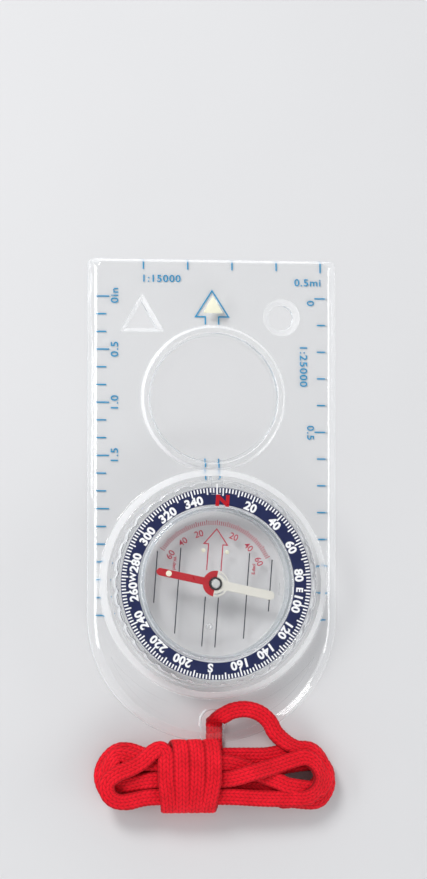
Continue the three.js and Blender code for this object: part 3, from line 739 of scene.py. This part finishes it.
def hank_route():
    """The whole cord: out of the slot, round the hank's runs and wraps, and back to the slot."""
    route = [(place, FLAT) for place in UPPER_ROUTE] + ENTRY_ROUTE + runs_and_folds()
    route += [((x, HANK_MIDDLE + y, z), normal) for (x, y, z), normal in LINK_ROUTE]
    return route + wraps() + [(SLOT_ROUTE[0][0], (0, 0.3, -1))]


def between(a, b, c, d, t):
    """A point between b and c, on a smooth curve through all four."""
    square, cube = 2 * a - 5 * b + 4 * c - d, 3 * b - a - 3 * c + d
    return 0.5 * (2 * b + (c - a) * t + square * t**2 + cube * t**3)


def running_length(points):
    return np.concatenate([[0], np.cumsum(np.linalg.norm(np.diff(points, axis=0), axis=1))])


BLUR = 9


def smooth_line(route):
    """Evenly spaced points on a smooth curve through a route, with their directions and distances."""
    points = np.array([p for p, _ in route], float)
    normals = unit(np.array([n for _, n in route], float))
    padded = np.vstack([2 * points[0] - points[1], points, 2 * points[-1] - points[-2]])
    fine, fine_normals = [], []
    for i in range(len(points) - 1):
        count = max(4, int(np.linalg.norm(points[i + 1] - points[i]) / (BRAID_STEP / 3)))
        for t in np.arange(count) / count:
            fine.append(between(*padded[i : i + 4], t))
            fine_normals.append((1 - t) * normals[i] + t * normals[i + 1])
    fine = np.array([*fine, points[-1]])
    fine_normals = np.array([*fine_normals, normals[-1]])
    along = running_length(fine)
    wanted = np.linspace(0, along[-1], int(along[-1] / BRAID_STEP) + 1)
    line = np.column_stack([np.interp(wanted, along, fine[:, k]) for k in range(3)])
    upward = np.column_stack([np.interp(wanted, along, fine_normals[:, k]) for k in range(3)])
    for k in range(3):
        spread = np.pad(upward[:, k], BLUR // 2, mode="edge")
        upward[:, k] = np.convolve(spread, np.ones(BLUR) / BLUR, mode="valid")
    return line, upward, wanted


def flat_section(width, thickness):
    """Evenly spaced points round a flat section, with each one's share of the way round."""
    angles = np.linspace(0, 2 * pi, 721)
    across = np.sign(np.cos(angles)) * np.abs(np.cos(angles)) ** 0.5 * width / 2
    up = np.sign(np.sin(angles)) * np.abs(np.sin(angles)) ** 0.5 * thickness / 2
    along = np.concatenate([[0], np.cumsum(np.hypot(np.diff(across), np.diff(up)))])
    wanted = np.arange(BRAID_SIDES) * along[-1] / BRAID_SIDES
    return np.interp(wanted, along, across), np.interp(wanted, along, up), wanted / along[-1]


def stitches(along, shares):
    """1 on the crown of each stitch, 0 between them, at each distance along and share of the way round."""
    rows = shares * STITCH_ROWS
    within = rows - np.floor(rows)
    lean = np.where(np.floor(rows) % 2 == 0, 1.0, -1.0)
    phase = along[:, None] / STITCH_PITCH + (lean * (within - 0.5) * STITCH_LEAN)[None, :]
    return np.abs(np.cos(pi * phase)) * (1 - 0.7 * np.abs(2 * within - 1) ** 3)[None, :]


def tube_mesh(rings, along):
    """A tube through rings of points, closed at its ends, with its braid_layout UV map."""
    count, around = rings.shape[:2]
    faces, corners = [], []
    for i in range(count - 1):
        low, high = along[i] / UV_SPAN, along[i + 1] / UV_SPAN
        a, b = i * around, (i + 1) * around
        for j in range(around):
            k = (j + 1) % around
            faces.append((a + j, a + k, b + k, b + j))
            left, right = j / around, (j + 1) / around
            corners += [(low, left), (low, right), (high, right), (high, left)]
    faces.append(tuple(range(around)))
    faces.append(tuple((count - 1) * around + j for j in range(around))[::-1])
    corners += [(0, 0)] * (2 * around)
    mesh = bpy.data.meshes.new("braid")
    mesh.from_pydata(rings.reshape(-1, 3).tolist(), [], faces)
    layout = mesh.uv_layers.new(name="braid_layout")
    layout.data.foreach_set("uv", np.array(corners, float).ravel())
    return mesh


LOWEST = 0.02
GROOVE_DEPTH = 0.14
GROOVE_NARROWING = 0.05
END_TAPER = 3


def braided_tube(route, width, thickness, thin=1.0):
    """A flat braid along a route, its ends thinned to that share, with its middle line and length."""
    line, upward, along = smooth_line(route)
    tangent = unit(np.gradient(line, axis=0))
    normal = unit(upward - np.sum(upward * tangent, axis=1)[:, None] * tangent)
    side = np.cross(tangent, normal)
    across, up, shares = flat_section(width, thickness)
    groove = 1 - stitches(along, shares)
    from_end = np.minimum(along, along[-1] - along)
    thinning = 1 - (1 - thin) * np.exp(-from_end / END_TAPER)
    sideways = across[None, :] * (1 - GROOVE_NARROWING * groove)
    upwards = up[None, :] * ((1 - GROOVE_DEPTH * groove) * thinning[:, None])
    rings = line[:, None, :] + side[:, None, :] * sideways[..., None]
    rings = rings + normal[:, None, :] * upwards[..., None]
    rings[..., 2] = np.maximum(rings[..., 2], LOWEST)
    return tube_mesh(rings, along), line, along[-1]


def make_lanyard():
    tube, line, length = braided_tube(hank_route(), BRAID_WIDTH, BRAID_THICKNESS, 0.76)
    stands_for = ("lanyard_hank", "lanyard_upper_strand")
    cord = finished("lanyard_cord", tube, "base", BRAID, "braid", *stands_for, angle=80)
    turn = braided_tube(SLOT_ROUTE, BRAID_WIDTH, BIGHT_THICKNESS)[0]
    bight = finished("lanyard_slot_bight", turn, "base", BRAID, "braid", "lanyard_lower_strand", angle=80)


# ---- the plate ----

# The raised collars and the stepped holes through them. The lens rests in the seat, the bezel's neck turns
# in the bore over the ledge at its middle.
DIAL_COLLAR = [(0, 1.9), (27.0, 1.9), (27.9, 2.45), (27.3, 2.75), (25.75, 4.8), (25.5, 4.8), (0, 4.8)]
LENS_COLLAR = [(0, 1.9), (17.2, 1.9), (17.7, 2.5), (17.35, 2.75), (16.75, 3.9), (16.5, 3.9), (0, 3.9)]
DIAL_BORE = [
    (0, -1), (22.9, -1), (22.9, 0.9), (21.4, 0.9), (21.4, 1.9),
    (24.7, 1.9), (24.7, 4.5), (25.1, 4.9), (25.1, 6), (0, 6),
]
LENS_SEAT = [
    (0, -1), (14.75, -1), (14.75, 0.9), (15.6, 0.9), (15.6, 3.65), (15.85, 3.95), (15.85, 5), (0, 5),
]

# The bevelled slab, from its underside up: how far its sides and its square end lie in at each level.
BEVEL, CHAMFER, EDGE = 2.4, 0.9, 1.1
SLAB = [
    (0.22, 0.22, 0.0), (0.06, 0.06, 0.07), (0.0, 0.0, 0.22), (0.0, 0.0, EDGE - 0.2),
    (0.04, 0.04, EDGE - 0.06),
    (0.16, 0.12, EDGE + 0.07),
    (BEVEL - 0.3, CHAMFER - 0.2, PLATE_THICKNESS - 0.19),
    (BEVEL - 0.08, CHAMFER - 0.05, PLATE_THICKNESS - 0.07),
    (BEVEL + 0.1, CHAMFER + 0.06, PLATE_THICKNESS - 0.012),
    (BEVEL + 0.26, CHAMFER + 0.16, PLATE_THICKNESS),
]
CORNER_RADIUS = 1.6

CIRCLE_PLACE = (16.6, 43.9)
CIRCLE_HOLE = [(0, -1), (3.0, -1), (3.0, 1.3), (4.5, PLATE_THICKNESS + 0.02), (4.75, 3.6), (0, 3.6)]
TRIANGLE_PLACE = (-17.1, 43.3)
TRIANGLE_BOTTOM, TRIANGLE_TOP = (4.3, 0.35), (6.2, 0.5)
FILL_BOTTOM, FILL_TOP = levels_mm("travel_arrow_fill")
FILL_RADIUS = 2.75
FILL_POCKET = (3.05, 0.3)
FILL_PLACE = (centre_mm("travel_arrow_fill")[0], box_mm("travel_arrow_fill")[1][1] - FILL_RADIUS)

# The lanyard slot's arch, its lip and the groove that leads out under the end bar.
SLOT_CENTRE = (0, -52.7)
SLOT_FOOT, LIP_FOOT = -54.0, -54.3
SLOT_HOLE = ((2.7, -1), (2.7, 2.2), (2.86, 2.56), (2.86, 4))
SLOT_LIP = ((3.4, 1.9), (3.4, 2.15), (3.12, 2.5), (3.04, 2.58))
GROOVE_MIDDLE_Y, GROOVE_HALF_LENGTH, GROOVE_TOP = -56.75, 3.25, 1.6

POCKET_RADIUS, POCKET_SKIRT = 26.3, 30.0
POCKET_BOTTOM, POCKET_TOP = 2.1, 3.4
POCKET_STEPS = 90


def plate_outline(inset, top_inset):
    half = PLATE_HALF_WIDTH - inset
    x, y = half - CORNER_RADIUS, PLATE_TOP_Y - top_inset - CORNER_RADIUS
    corners = arc((x, y), CORNER_RADIUS, 0, pi / 2, 10)
    corners += arc((-x, y), CORNER_RADIUS, pi / 2, pi, 10)
    return arc((0, END_CENTRE_Y), half, pi, 2 * pi, 180) + corners


def crescent_pocket():
    """The hollow between the dial's collar and the round end's rim, as a ring of cross-sections."""
    apart = DIAL_CENTRE[1] - END_CENTRE_Y
    tip_y = (POCKET_RADIUS**2 - POCKET_SKIRT**2 + apart**2) / (2 * apart)
    tip = asin(tip_y / POCKET_RADIUS)
    skirt_tip = asin((tip_y - apart) / POCKET_SKIRT)
    quarter = pi / 2
    sections = []
    for t in (-1 + 2 * k / POCKET_STEPS for k in range(POCKET_STEPS + 1)):
        a, b = -quarter + t * (quarter + tip) * 0.999, -quarter + t * (quarter + skirt_tip) * 0.996
        outer = (POCKET_RADIUS * cos(a), END_CENTRE_Y + POCKET_RADIUS * sin(a))
        inner = (POCKET_SKIRT * cos(b), DIAL_CENTRE[1] + POCKET_SKIRT * sin(b))
        low, high = POCKET_BOTTOM, POCKET_TOP
        sections.append([(*outer, low), (*inner, low), (*inner, high), (*outer, high)])
    return skinned(sections)


def slot_arch(radius, foot):
    return [(-radius, foot), (radius, foot)] + arc(SLOT_CENTRE, radius, 0, pi, 40)


def make_plate():
    slab = lofted([(plate_outline(side, end), z) for side, end, z in SLAB])
    collars = [ring_at(DIAL_CENTRE, DIAL_COLLAR, 0.35), ring_at(LENS_CENTRE, LENS_COLLAR, 0.3)]
    small, large = soft_triangle(*TRIANGLE_BOTTOM), soft_triangle(*TRIANGLE_TOP)
    triangle = lofted([(small, -1), (small, 1.3), (large, PLATE_THICKNESS + 0.01), (large, 3.6)])
    groove = rectangle(0, GROOVE_MIDDLE_Y, SLOT_HOLE[0][0], GROOVE_HALF_LENGTH)
    fill_pocket = lofted([(soft_triangle(*FILL_POCKET), z) for z in (2.15, 3.5)])
    holes = [
        ring_at(DIAL_CENTRE, DIAL_BORE),
        ring_at(LENS_CENTRE, LENS_SEAT),
        ring_at(CIRCLE_PLACE, CIRCLE_HOLE, 0.12, 96),
        placed(triangle, TRIANGLE_PLACE),
        lofted([(groove, -1), (groove, GROOVE_TOP)]),
        crescent_pocket(),
        placed(fill_pocket, FILL_PLACE),
    ]
    lip = lofted([(slot_arch(radius, LIP_FOOT), z) for radius, z in SLOT_LIP])
    slot = lofted([(slot_arch(radius, SLOT_FOOT), z) for radius, z in SLOT_HOLE])
    mesh = joined_and_cut(slab, collars, holes, [lip], [slot])
    finished("plate", mesh, "base", CLEAR, "clear_plate", "baseplate", angle=25)


LENS_RIM_HEIGHT = 1.5


def make_lens():
    radius = radius_mm("magnifier_lens")
    bottom, top = levels_mm("magnifier_lens")
    rim = bottom + LENS_RIM_HEIGHT
    rise = top - rim
    sphere = (radius**2 + rise**2) / (2 * rise)
    dome = [
        (radius * k, top - sphere + sqrt(sphere**2 - (radius * k) ** 2))
        for k in np.linspace(0.985, 0, 40)
    ]
    profile = [(0, bottom), (radius - 0.12, bottom), (radius, bottom + 0.12), (radius, rim - 0.08)]
    lens = ring_at(LENS_CENTRE, profile + dome)
    finished("magnifier", [lens], "base", CLEAR_LENS, "clear_lens", "magnifier_lens", angle=30)


def make_arrow_fill():
    side, crown = soft_triangle(FILL_RADIUS, 0.25), soft_triangle(FILL_RADIUS - 0.1, 0.25)
    fill = lofted([(side, FILL_BOTTOM), (side, FILL_TOP - 0.06), (crown, FILL_TOP)])
    part = placed(fill, FILL_PLACE)
    finished("arrow_fill", [part], "base", LUMINOUS, "luminous", "travel_arrow_fill")


TAB_FOOT = 0.6
TAB_THICKNESS = 0.45
TAB_CLEARANCE = 0.05
INDEX_LENGTH, INDEX_WIDTH, INDEX_INK = 2.5, 0.34, 0.02
INDEX_RADIUS = 22.4


def make_index():
    low, high = box_mm("index_tab")
    half_width = radius_mm("index_tab")
    inner, outer = low[1] - DIAL_CENTRE[1], high[1] - DIAL_CENTRE[1]
    bottom, top = low[2] + TAB_CLEARANCE, high[2]
    under, foot = top - TAB_THICKNESS, outer - TAB_FOOT
    side = [(foot, bottom), (outer, bottom), (outer, top), (inner, top), (inner, under), (foot, under)]
    outline = rounded(side, 0.18, 3, closed=False)
    vertices, faces = lofted([(outline, -half_width), (outline, half_width)])
    tab = [(z, y + DIAL_CENTRE[1], height) for y, height, z in vertices], faces
    finished("index_bridge", [tab], "base", CLEAR, "clear_plate", "index_tab")
    line = bar(INDEX_LENGTH, INDEX_WIDTH, INDEX_INK)
    line = placed(line, (0, DIAL_CENTRE[1] + INDEX_RADIUS), 0, top - INDEX_INK)
    finished("index_line", [line], "base", INK_WHITE, "luminous")


# ---- the plate's print ----

PRINT_LEVEL = 0.03
PRINT_WIDTH = 0.32
SIDE_SCALE_X = PLATE_HALF_WIDTH - 2.5
SCALE_ZERO_Y = 48.7
TOP_SCALE_X = 4.85
TOP_SCALE_GAP = 0.45


def ruler(x, inward, spacing, count, long_every, long, short):
    """Ticks along a side edge, starting at the edge of the bevel and running inwards."""
    lengths = [short if i % long_every else long for i in range(count)]
    return [
        placed(bar(length, PRINT_WIDTH), (x + inward * length / 2, SCALE_ZERO_Y - i * spacing), pi / 2)
        for i, length in enumerate(lengths)
    ]


def top_ruler():
    top = PLATE_TOP_Y - TOP_SCALE_GAP
    return [
        placed(bar(length, PRINT_WIDTH), (TOP_SCALE_X + (i - 2) * TENTH_MILE / 15000, top - length / 2))
        for i, length in enumerate((2.0, 2.0, 2.0, 2.0, 2.4))
    ]


def plate_labels():
    left, right = pi / 2, -pi / 2
    labels = [("1:15000", -12.1, 53.2, 0, 1.75), ("0.5mi", 23.2, 52.6, 0, 1.75)]
    labels += [("1:25000", 22.3, 32.2, right, 1.85)]
    labels += [(text, 24.0, y, right, 1.75) for text, y in (("0", 47.6), ("0.5", 16.4))]
    inches = (("0in", 48.9), ("0.5", 36.0), ("1.0", 23.4), ("1.5", 10.8))
    labels += [(text, -23.6, y, left, 1.85) for text, y in inches]
    return [
        placed(lettering(text, height, 0.012, 1.1, 1.14), (x, y), turn)
        for text, x, y, turn, height in labels
    ]


def travel_arrow():
    """The outlined head round the fill, and the stem that goes on below the lens."""
    stem = 1.62
    head = arrow_outline(stem, foot=42.2, neck=44.05, half=4.0, tip=50.3)
    stems = [placed(bar(5.4, PRINT_WIDTH), (x, 7.6)) for x in (-stem, stem)]
    return line_of_ink(head, PRINT_WIDTH) + stems


def make_plate_print():
    parts = ruler(-SIDE_SCALE_X, 1, INCH / 6, 19, 3, 2.7, 2.0)
    parts += ruler(SIDE_SCALE_X, -1, TENTH_MILE / 25000, 13, 5, 2.6, 2.0)
    parts += top_ruler() + plate_labels() + travel_arrow()
    raised = [placed(part, level=PRINT_LEVEL) for part in parts]
    finished("plate_print", raised, "base", INK_BLUE, "clear_plate")


# ---- the bezel and its scale ----

BEZEL_RADIUS = radius_mm("bezel_ring")
BEZEL_PROFILE = [
    (17.5, 0.2), (20.3, 0.2), (20.3, 0.7), (21.15, 0.7), (21.15, 2.1), (BEZEL_RADIUS, 2.1),
    (BEZEL_RADIUS, 8.5), (22.95, 8.5), (22.95, 7.45), (18.6, 7.45), (18.6, 0.6), (17.5, 0.6),
]
SCALLOPS = 36
SCALLOP_DEPTH = 0.45
SCALLOP_SHARPNESS = 6
SCALE_BOTTOM, SCALE_TOP = levels_mm("degree_scale_ring")
SCALE_INNER, SCALE_OUTER = 18.75, radius_mm("degree_scale_ring")
TICKS_OUTER = 22.7
TICK_WIDTH = 0.34
NUMBERS_RADIUS = 20.0


def grip(radius, angles):
    """The bezel's radius at each angle, drawn in at the finger scallops where it is outermost."""
    groove = np.abs(np.cos(SCALLOPS / 2 * (angles - DIAL_TURN))) ** SCALLOP_SHARPNESS
    depth = SCALLOP_DEPTH if radius > BEZEL_RADIUS - 0.5 else 0
    return radius - depth * groove


def make_bezel():
    part = placed(revolved(rounded(BEZEL_PROFILE, 0.28), 1080, grip), DIAL_CENTRE)
    finished("bezel", [part], "dial", CLEAR_BEZEL, "clear_bezel", "bezel_ring", angle=28)


def make_scale_ring():
    profile = band(SCALE_INNER, SCALE_OUTER, SCALE_BOTTOM, SCALE_TOP)
    round_piece("scale_ring", profile, 0.1, "dial", NAVY, "navy_scale", "degree_scale_ring")


def at_bearing(part, degrees, radius, level=SCALE_TOP - 0.005):
    """A part on the degree ring at a bearing, with its top outwards."""
    out = placed(part, (0, radius), 0, level)
    return placed(placed(out, (0, 0), -radians(degrees)), DIAL_CENTRE, DIAL_TURN)


def make_dial_print():
    white = []
    for degrees in range(0, 360, 2):
        length = 1.8 if degrees % 20 == 0 else 1.55 if degrees % 10 == 0 else 1.05
        white.append(at_bearing(bar(length, TICK_WIDTH), degrees, TICKS_OUTER - length / 2))
    for degrees in range(20, 360, 20):
        if degrees != 180:
            number = lettering(str(degrees), 2.0, 0.058, 1.05, 1.06)
            white.append(at_bearing(number, degrees, NUMBERS_RADIUS))
    for letter, degrees, height in (("E", 90, 1.6), ("S", 180, 2.0), ("W", 270, 1.5)):
        white.append(at_bearing(lettering(letter, height, 0.055), degrees, NUMBERS_RADIUS + 0.1))
    finished("dial_print_white", white, "dial", INK_WHITE, "navy_scale")
    letter = lettering("N", 2.6, 0.07, 1.0, 1.25)
    north = at_bearing(letter, 0, NUMBERS_RADIUS - 0.15, SCALE_TOP - 0.003)
    finished("dial_print_north", [north], "dial", RED_PAINT, "navy_scale")


# ---- the capsule ----

CUP_RADIUS = radius_mm("capsule_top")
CUP_BOTTOM, CUP_TOP = levels_mm("capsule_top")
CUP_INNER, CUP_CEILING = CUP_RADIUS - 0.9, 8.8
CUP_PROFILE = [
    (0, CUP_CEILING), (CUP_INNER, CUP_CEILING), (CUP_INNER, CUP_BOTTOM), (CUP_RADIUS, CUP_BOTTOM),
    (CUP_RADIUS, CUP_TOP - 0.7), (CUP_RADIUS - 0.2, CUP_TOP - 0.2), (CUP_RADIUS - 0.7, CUP_TOP),
    (0, CUP_TOP),
]
FLOOR_BOTTOM, BOSS_TOP = levels_mm("capsule_floor")
FLOOR_TOP = 1.9
FLOOR_PROFILE = [
    (0, FLOOR_BOTTOM), (CUP_RADIUS, FLOOR_BOTTOM), (CUP_RADIUS, FLOOR_TOP), (1.3, FLOOR_TOP),
    (1.04, BOSS_TOP), (0.52, BOSS_TOP), (0.52, 1.2), (0, 1.2),
]
STOP_X = 16.7
STOP_HALF_WIDTH, STOP_HALF_LENGTH = 0.5, 1.5
STOP_SOFTENING = 0.08
PLUG_PLACE = (0, -10.3)
PLUG_HOLE_RADIUS = 0.8


def floor_stop(x):
    foot = rectangle(x, 0, STOP_HALF_WIDTH, STOP_HALF_LENGTH)
    crown = rectangle(x, 0, STOP_HALF_WIDTH - STOP_SOFTENING, STOP_HALF_LENGTH - STOP_SOFTENING)
    return lofted([(foot, 1.4), (foot, 2.42), (crown, 2.5)])


def turned_on_dial(mesh, turn):
    mesh.transform(Matrix.Rotation(turn, 4, "Z"))
    mesh.transform(Matrix.Translation((*DIAL_CENTRE, 0)))
    return mesh


def make_capsule():
    look = ("dial", CLEAR_LENS, "clear_lens")
    round_piece("capsule_cup", CUP_PROFILE, 0.3, *look, "capsule_top", angle=28)
    plug_hole = ring_at(PLUG_PLACE, band(0, PLUG_HOLE_RADIUS, -1, 3), 0, 48)
    floor = revolved(rounded(FLOOR_PROFILE, 0.12))
    mesh = joined_and_cut(floor, [floor_stop(-STOP_X), floor_stop(STOP_X)], [plug_hole])
    turned_on_dial(mesh, DIAL_TURN)
    finished("capsule_base", mesh, *look, "capsule_floor", angle=28)


def on_floor(part, place=(0, 0), turn=0.0):
    return placed(placed(part, place, turn, FLOOR_TOP + 0.01), DIAL_CENTRE, DIAL_TURN)


def at_floor_bearing(part, degrees, radius):
    angle = -radians(degrees)
    return on_floor(part, (-radius * sin(angle), radius * cos(angle)), angle)


ARROW_STEM, ARROW_HALF = 1.75, 2.85
ARROW_FOOT, ARROW_NECK, ARROW_TIP = 3.2, 9.55, 13.3
FLOOR_LINE_WIDTH = 0.26
DECLINATION_RADIUS = 14.2
DECLINATION_TICK_WIDTH = 0.17
DECLINATION_NUMBERS = 12.55

# Each pair of meridian lines: its distance from the middle, and where it starts and ends.
MERIDIANS = {14.0: (-5.6, 6.9), 8.4: (-12.6, 8.1), 1.6: (-15.2, -3.2)}


def make_floor_print():
    arrow = arrow_outline(ARROW_STEM, ARROW_FOOT, ARROW_NECK, ARROW_HALF, ARROW_TIP)
    red = [on_floor(part) for part in line_of_ink(arrow, FLOOR_LINE_WIDTH)]
    for degrees in range(-60, 61, 2):
        length = 1.0 if degrees % 10 else 1.25
        tick = bar(length, DECLINATION_TICK_WIDTH)
        red.append(at_floor_bearing(tick, degrees, DECLINATION_RADIUS + length / 2))
    for degrees in (-20, 20, -40, 40, -60, 60):
        number = lettering(str(abs(degrees)), 1.6, 0.012)
        red.append(at_floor_bearing(number, degrees, DECLINATION_NUMBERS))
    for side, word in ((-1, "W.decl"), (1, "E.decl")):
        label = lettering(word, 0.8, 0.03)
        red.append(on_floor(label, (side * 9.6, 4.3), -side * pi / 2 + pi))
    finished("floor_print_red", red, "dial", INK_RED, "clear_lens")
    black = []
    for x, (low, high) in MERIDIANS.items():
        for side in (-1, 1):
            stroke = bar(high - low, FLOOR_LINE_WIDTH)
            black.append(on_floor(stroke, (side * x, (low + high) / 2)))
    finished("floor_print_black", black, "dial", INK_BLACK, "clear_lens")


SEAL_INNER = 17.55
PIN_SHOULDER, PIN_POINT_RADIUS = 4.6, 0.07
PLUG_PROFILE = [
    (0, 0.75), (0.7, 0.75), (0.7, 1.9), (0.6, 2.25), (0.25, 2.25), (0.2, 2.1), (0, 2.1),
]
DOT_PROFILE = [(0, 1.95), (0.5, 1.95), (0.48, 2.04), (0.3, 2.1), (0, 2.1)]
DOT_X, DOT_Y = 2.87, 7.86
CLIP_OUTER, CLIP_INNER = 22.5, 20.45
CLIP_BOTTOM, CLIP_TOP = 0.25, 0.6
CLIP_HALF_GAP = radians(7)


def make_retaining_ring():
    start, end = CLIP_HALF_GAP, 2 * pi - CLIP_HALF_GAP
    clip = arc((0, 0), CLIP_OUTER, start, end, 200) + arc((0, 0), CLIP_INNER, end, start, 200)
    ring = placed(lofted([(clip, CLIP_BOTTOM), (clip, CLIP_TOP)]), DIAL_CENTRE, DIAL_TURN)
    finished("snap_ring", [ring], "dial", STEEL, "spring_steel", "retaining_ring")


def make_capsule_fittings():
    seal = band(SEAL_INNER, radius_mm("capsule_seal"), *levels_mm("capsule_seal"))
    round_piece("seal_ring", seal, 0.12, "dial", SILICONE, "seal", "capsule_seal")
    radius = radius_mm("pivot_pin")
    low, high = levels_mm("pivot_pin")
    pin = [(0, low), (radius, low), (radius, PIN_SHOULDER), (PIN_POINT_RADIUS, high - 0.03), (0, high)]
    round_piece("pivot", pin, 0.08, "dial", STEEL, "pin_steel", "pivot_pin", 64)
    make_retaining_ring()
    plug = ("dial", CLEAR_LENS, "clear_lens", "filler_plug", 48)
    round_piece("plug", PLUG_PROFILE, 0.06, *plug, PLUG_PLACE, DIAL_TURN)
    for x, side in ((-DOT_X, "left"), (DOT_X, "right")):
        dot = ("dial", LUMINOUS, "luminous", f"orienting_dot_{side}", 40)
        round_piece(f"floor_dot_{side}", DOT_PROFILE, 0.05, *dot, (x, DOT_Y), DIAL_TURN)


# ---- the needle ----

POINTER_BOTTOM, POINTER_TOP = levels_mm("needle_pointer")
POINTER_LENGTH = 14.5
POINTER_RING, POINTER_BORE = 3.1, 1.55
POINTER_SOFTENING = 0.07
WINDOW_OUTER, WINDOW_INNER = 2.8, 2.4
WINDOW_FROM_SPLIT, WINDOW_FROM_NECK = 0.06, 0.16
HUB_TOP = levels_mm("needle_hub")[1]
HUB_PROFILE = [(2.2, 5.4), (2.2, 5.65), (1.45, 5.65), (1.45, HUB_TOP), (1.12, HUB_TOP), (1.12, 5.4)]
JEWEL_TOP = levels_mm("jewel_cup")[1]
JEWEL_PROFILE = [
    (0, 6.42), (0.6, 5.7), (1.02, 5.7), (1.02, JEWEL_TOP - 0.2), (0.72, JEWEL_TOP), (0, JEWEL_TOP),
]
NORTH_DOT_RADIUS = 0.72
NORTH_DOT_PLACE = (0, 11.5)


def edge_normal(outline, i):
    """The outward normal of a counter-clockwise outline at one of its points."""
    along = unit(np.array(outline[(i + 1) % len(outline)]) - np.array(outline[i - 1]))
    return np.array([along[1], -along[0]])


def half_pointer(half_width, windows):
    """One arm along +Y with its half of the round middle, its bore and, if asked, curved windows."""
    quarter = pi / 2
    neck = asin(half_width / POINTER_RING)
    outline = arc((0, POINTER_LENGTH - half_width), half_width, 0, pi, 24)
    outline += arc((0, 0), POINTER_RING, quarter + neck, pi, 30)
    outline += arc((0, 0), POINTER_BORE, pi, 0, 48)
    outline += arc((0, 0), POINTER_RING, 0, quarter - neck, 30)
    soft = POINTER_SOFTENING
    inner = [tuple(np.array(p) - soft * edge_normal(outline, i)) for i, p in enumerate(outline)]
    low, high = POINTER_BOTTOM, POINTER_TOP
    body = lofted([(inner, low), (outline, low + soft), (outline, high - soft), (inner, high)])
    cuts = []
    reach = neck + WINDOW_FROM_NECK
    spans = [(WINDOW_FROM_SPLIT, quarter - reach), (quarter + reach, pi - WINDOW_FROM_SPLIT)]
    for start, end in spans if windows else []:
        slit = arc((0, 0), WINDOW_OUTER, start, end, 20) + arc((0, 0), WINDOW_INNER, end, start, 20)
        cuts.append(lofted([(slit, low - 1), (slit, high + 1)]))
    return joined_and_cut(body, [], cuts)


def make_needle():
    for name, turn, half_width, windows, paint in (
        ("needle_north", NEEDLE_TURN, 0.9, False, RED_PAINT),
        ("needle_south", NEEDLE_TURN + pi, 1.05, True, WHITE_PAINT),
    ):
        mesh = turned_on_dial(half_pointer(half_width, windows), turn)
        finished(name, mesh, "needle", paint, "needle_paint", "needle_pointer", angle=40)
    round_piece("hub_ring", HUB_PROFILE, 0.1, "needle", BLACK_PLASTIC, "black_hub", "needle_hub", 96)
    round_piece("jewel", JEWEL_PROFILE, 0.1, "needle", JEWEL, "jewel", "jewel_cup", 96)
    radius = NORTH_DOT_RADIUS
    low, high = levels_mm("needle_dot")
    low -= 0.05
    profile = [(0, low), (radius, low), (radius * 0.96, high - 0.05), (radius * 0.7, high), (0, high)]
    dot = ("needle", LUMINOUS, "luminous", "needle_dot", 48)
    round_piece("north_dot", profile, 0.05, *dot, NORTH_DOT_PLACE, NEEDLE_TURN)
    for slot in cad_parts["needle_magnet"].material_slots:
        slot.link = "OBJECT"
        slot.material = MAGNET


# ---- floor and light ----

FLOOR_HALF_SIZE = 4.0
FLOOR_LEVEL = -0.0002

# How bright the room is along its horizon and overhead, and the heights between which it changes.
HORIZON_LIGHT, OVERHEAD_LIGHT = 1.5, 0.33
HORIZON_HEIGHT, OVERHEAD_HEIGHT = 0.12, 0.55

# Each lamp's place in metres, its size and its power. All of them face the compass.
LAMPS = {
    "key": ((-0.42, 0.5, 0.6), (0.28, 0.28), 4.3),
    "fill": ((0.7, -0.35, 0.4), (0.4, 0.4), 1.0),
    "left_strip": ((-0.68, 0.05, 0.42), (0.6, 0.08), 1.3),
    "right_strip": ((0.8, 0.05, 0.25), (0.6, 0.08), 1.0),
    "near_strip": ((0.1, -0.72, 0.4), (0.9, 0.1), 1.4),
}


def make_stage():
    data = bpy.data.meshes.new("floor")
    corners = rectangle(0, 0, FLOOR_HALF_SIZE, FLOOR_HALF_SIZE)
    data.from_pydata([(x, y, FLOOR_LEVEL) for x, y in corners], [], [(0, 1, 2, 3)])
    data.materials.append(PALE_FLOOR)
    linked("floor", data)


def area_light(name, place, size, power):
    data = bpy.data.lights.new(name, "AREA")
    data.shape = "RECTANGLE"
    data.size, data.size_y = size
    data.energy = power
    light = linked(name, data)
    light.location = place
    light.rotation_euler = (-Vector(place)).to_track_quat("-Z", "Y").to_euler()


def studio_world():
    """A room that is bright along its horizon, so that steep clear edges catch light."""
    world = bpy.data.worlds.new("studio")
    world.use_nodes = True
    nodes = Nodes(world.node_tree)
    upward = nodes.split(nodes.add("TexCoord", {}).outputs["Generated"])["Z"]
    heights = (HORIZON_HEIGHT, OVERHEAD_HEIGHT, HORIZON_LIGHT, OVERHEAD_LIGHT)
    background = world.node_tree.nodes["Background"]
    background.inputs["Color"].default_value = (0.95, 0.965, 1.0, 1)
    nodes.feed(background.inputs["Strength"], nodes.span(upward, *heights, "SMOOTHSTEP"))
    bpy.context.scene.world = world


def light_scene():
    """A soft key from the upper left, a weak fill, and low strips that the bevels mirror."""
    studio_world()
    for name, (place, size, power) in LAMPS.items():
        area_light(name, place, size, power)
    bpy.context.scene.view_settings.view_transform = "Standard"
    cycles = bpy.context.scene.cycles
    cycles.max_bounces = 24
    cycles.transmission_bounces = 24
    cycles.glossy_bounces = 16
    cycles.transparent_max_bounces = 32


place_camera()
make_lanyard()
make_plate()
make_lens()
make_arrow_fill()
make_index()
make_plate_print()
make_bezel()
make_scale_ring()
make_dial_print()
make_capsule()
make_floor_print()
make_capsule_fittings()
make_needle()
make_stage()
light_scene()
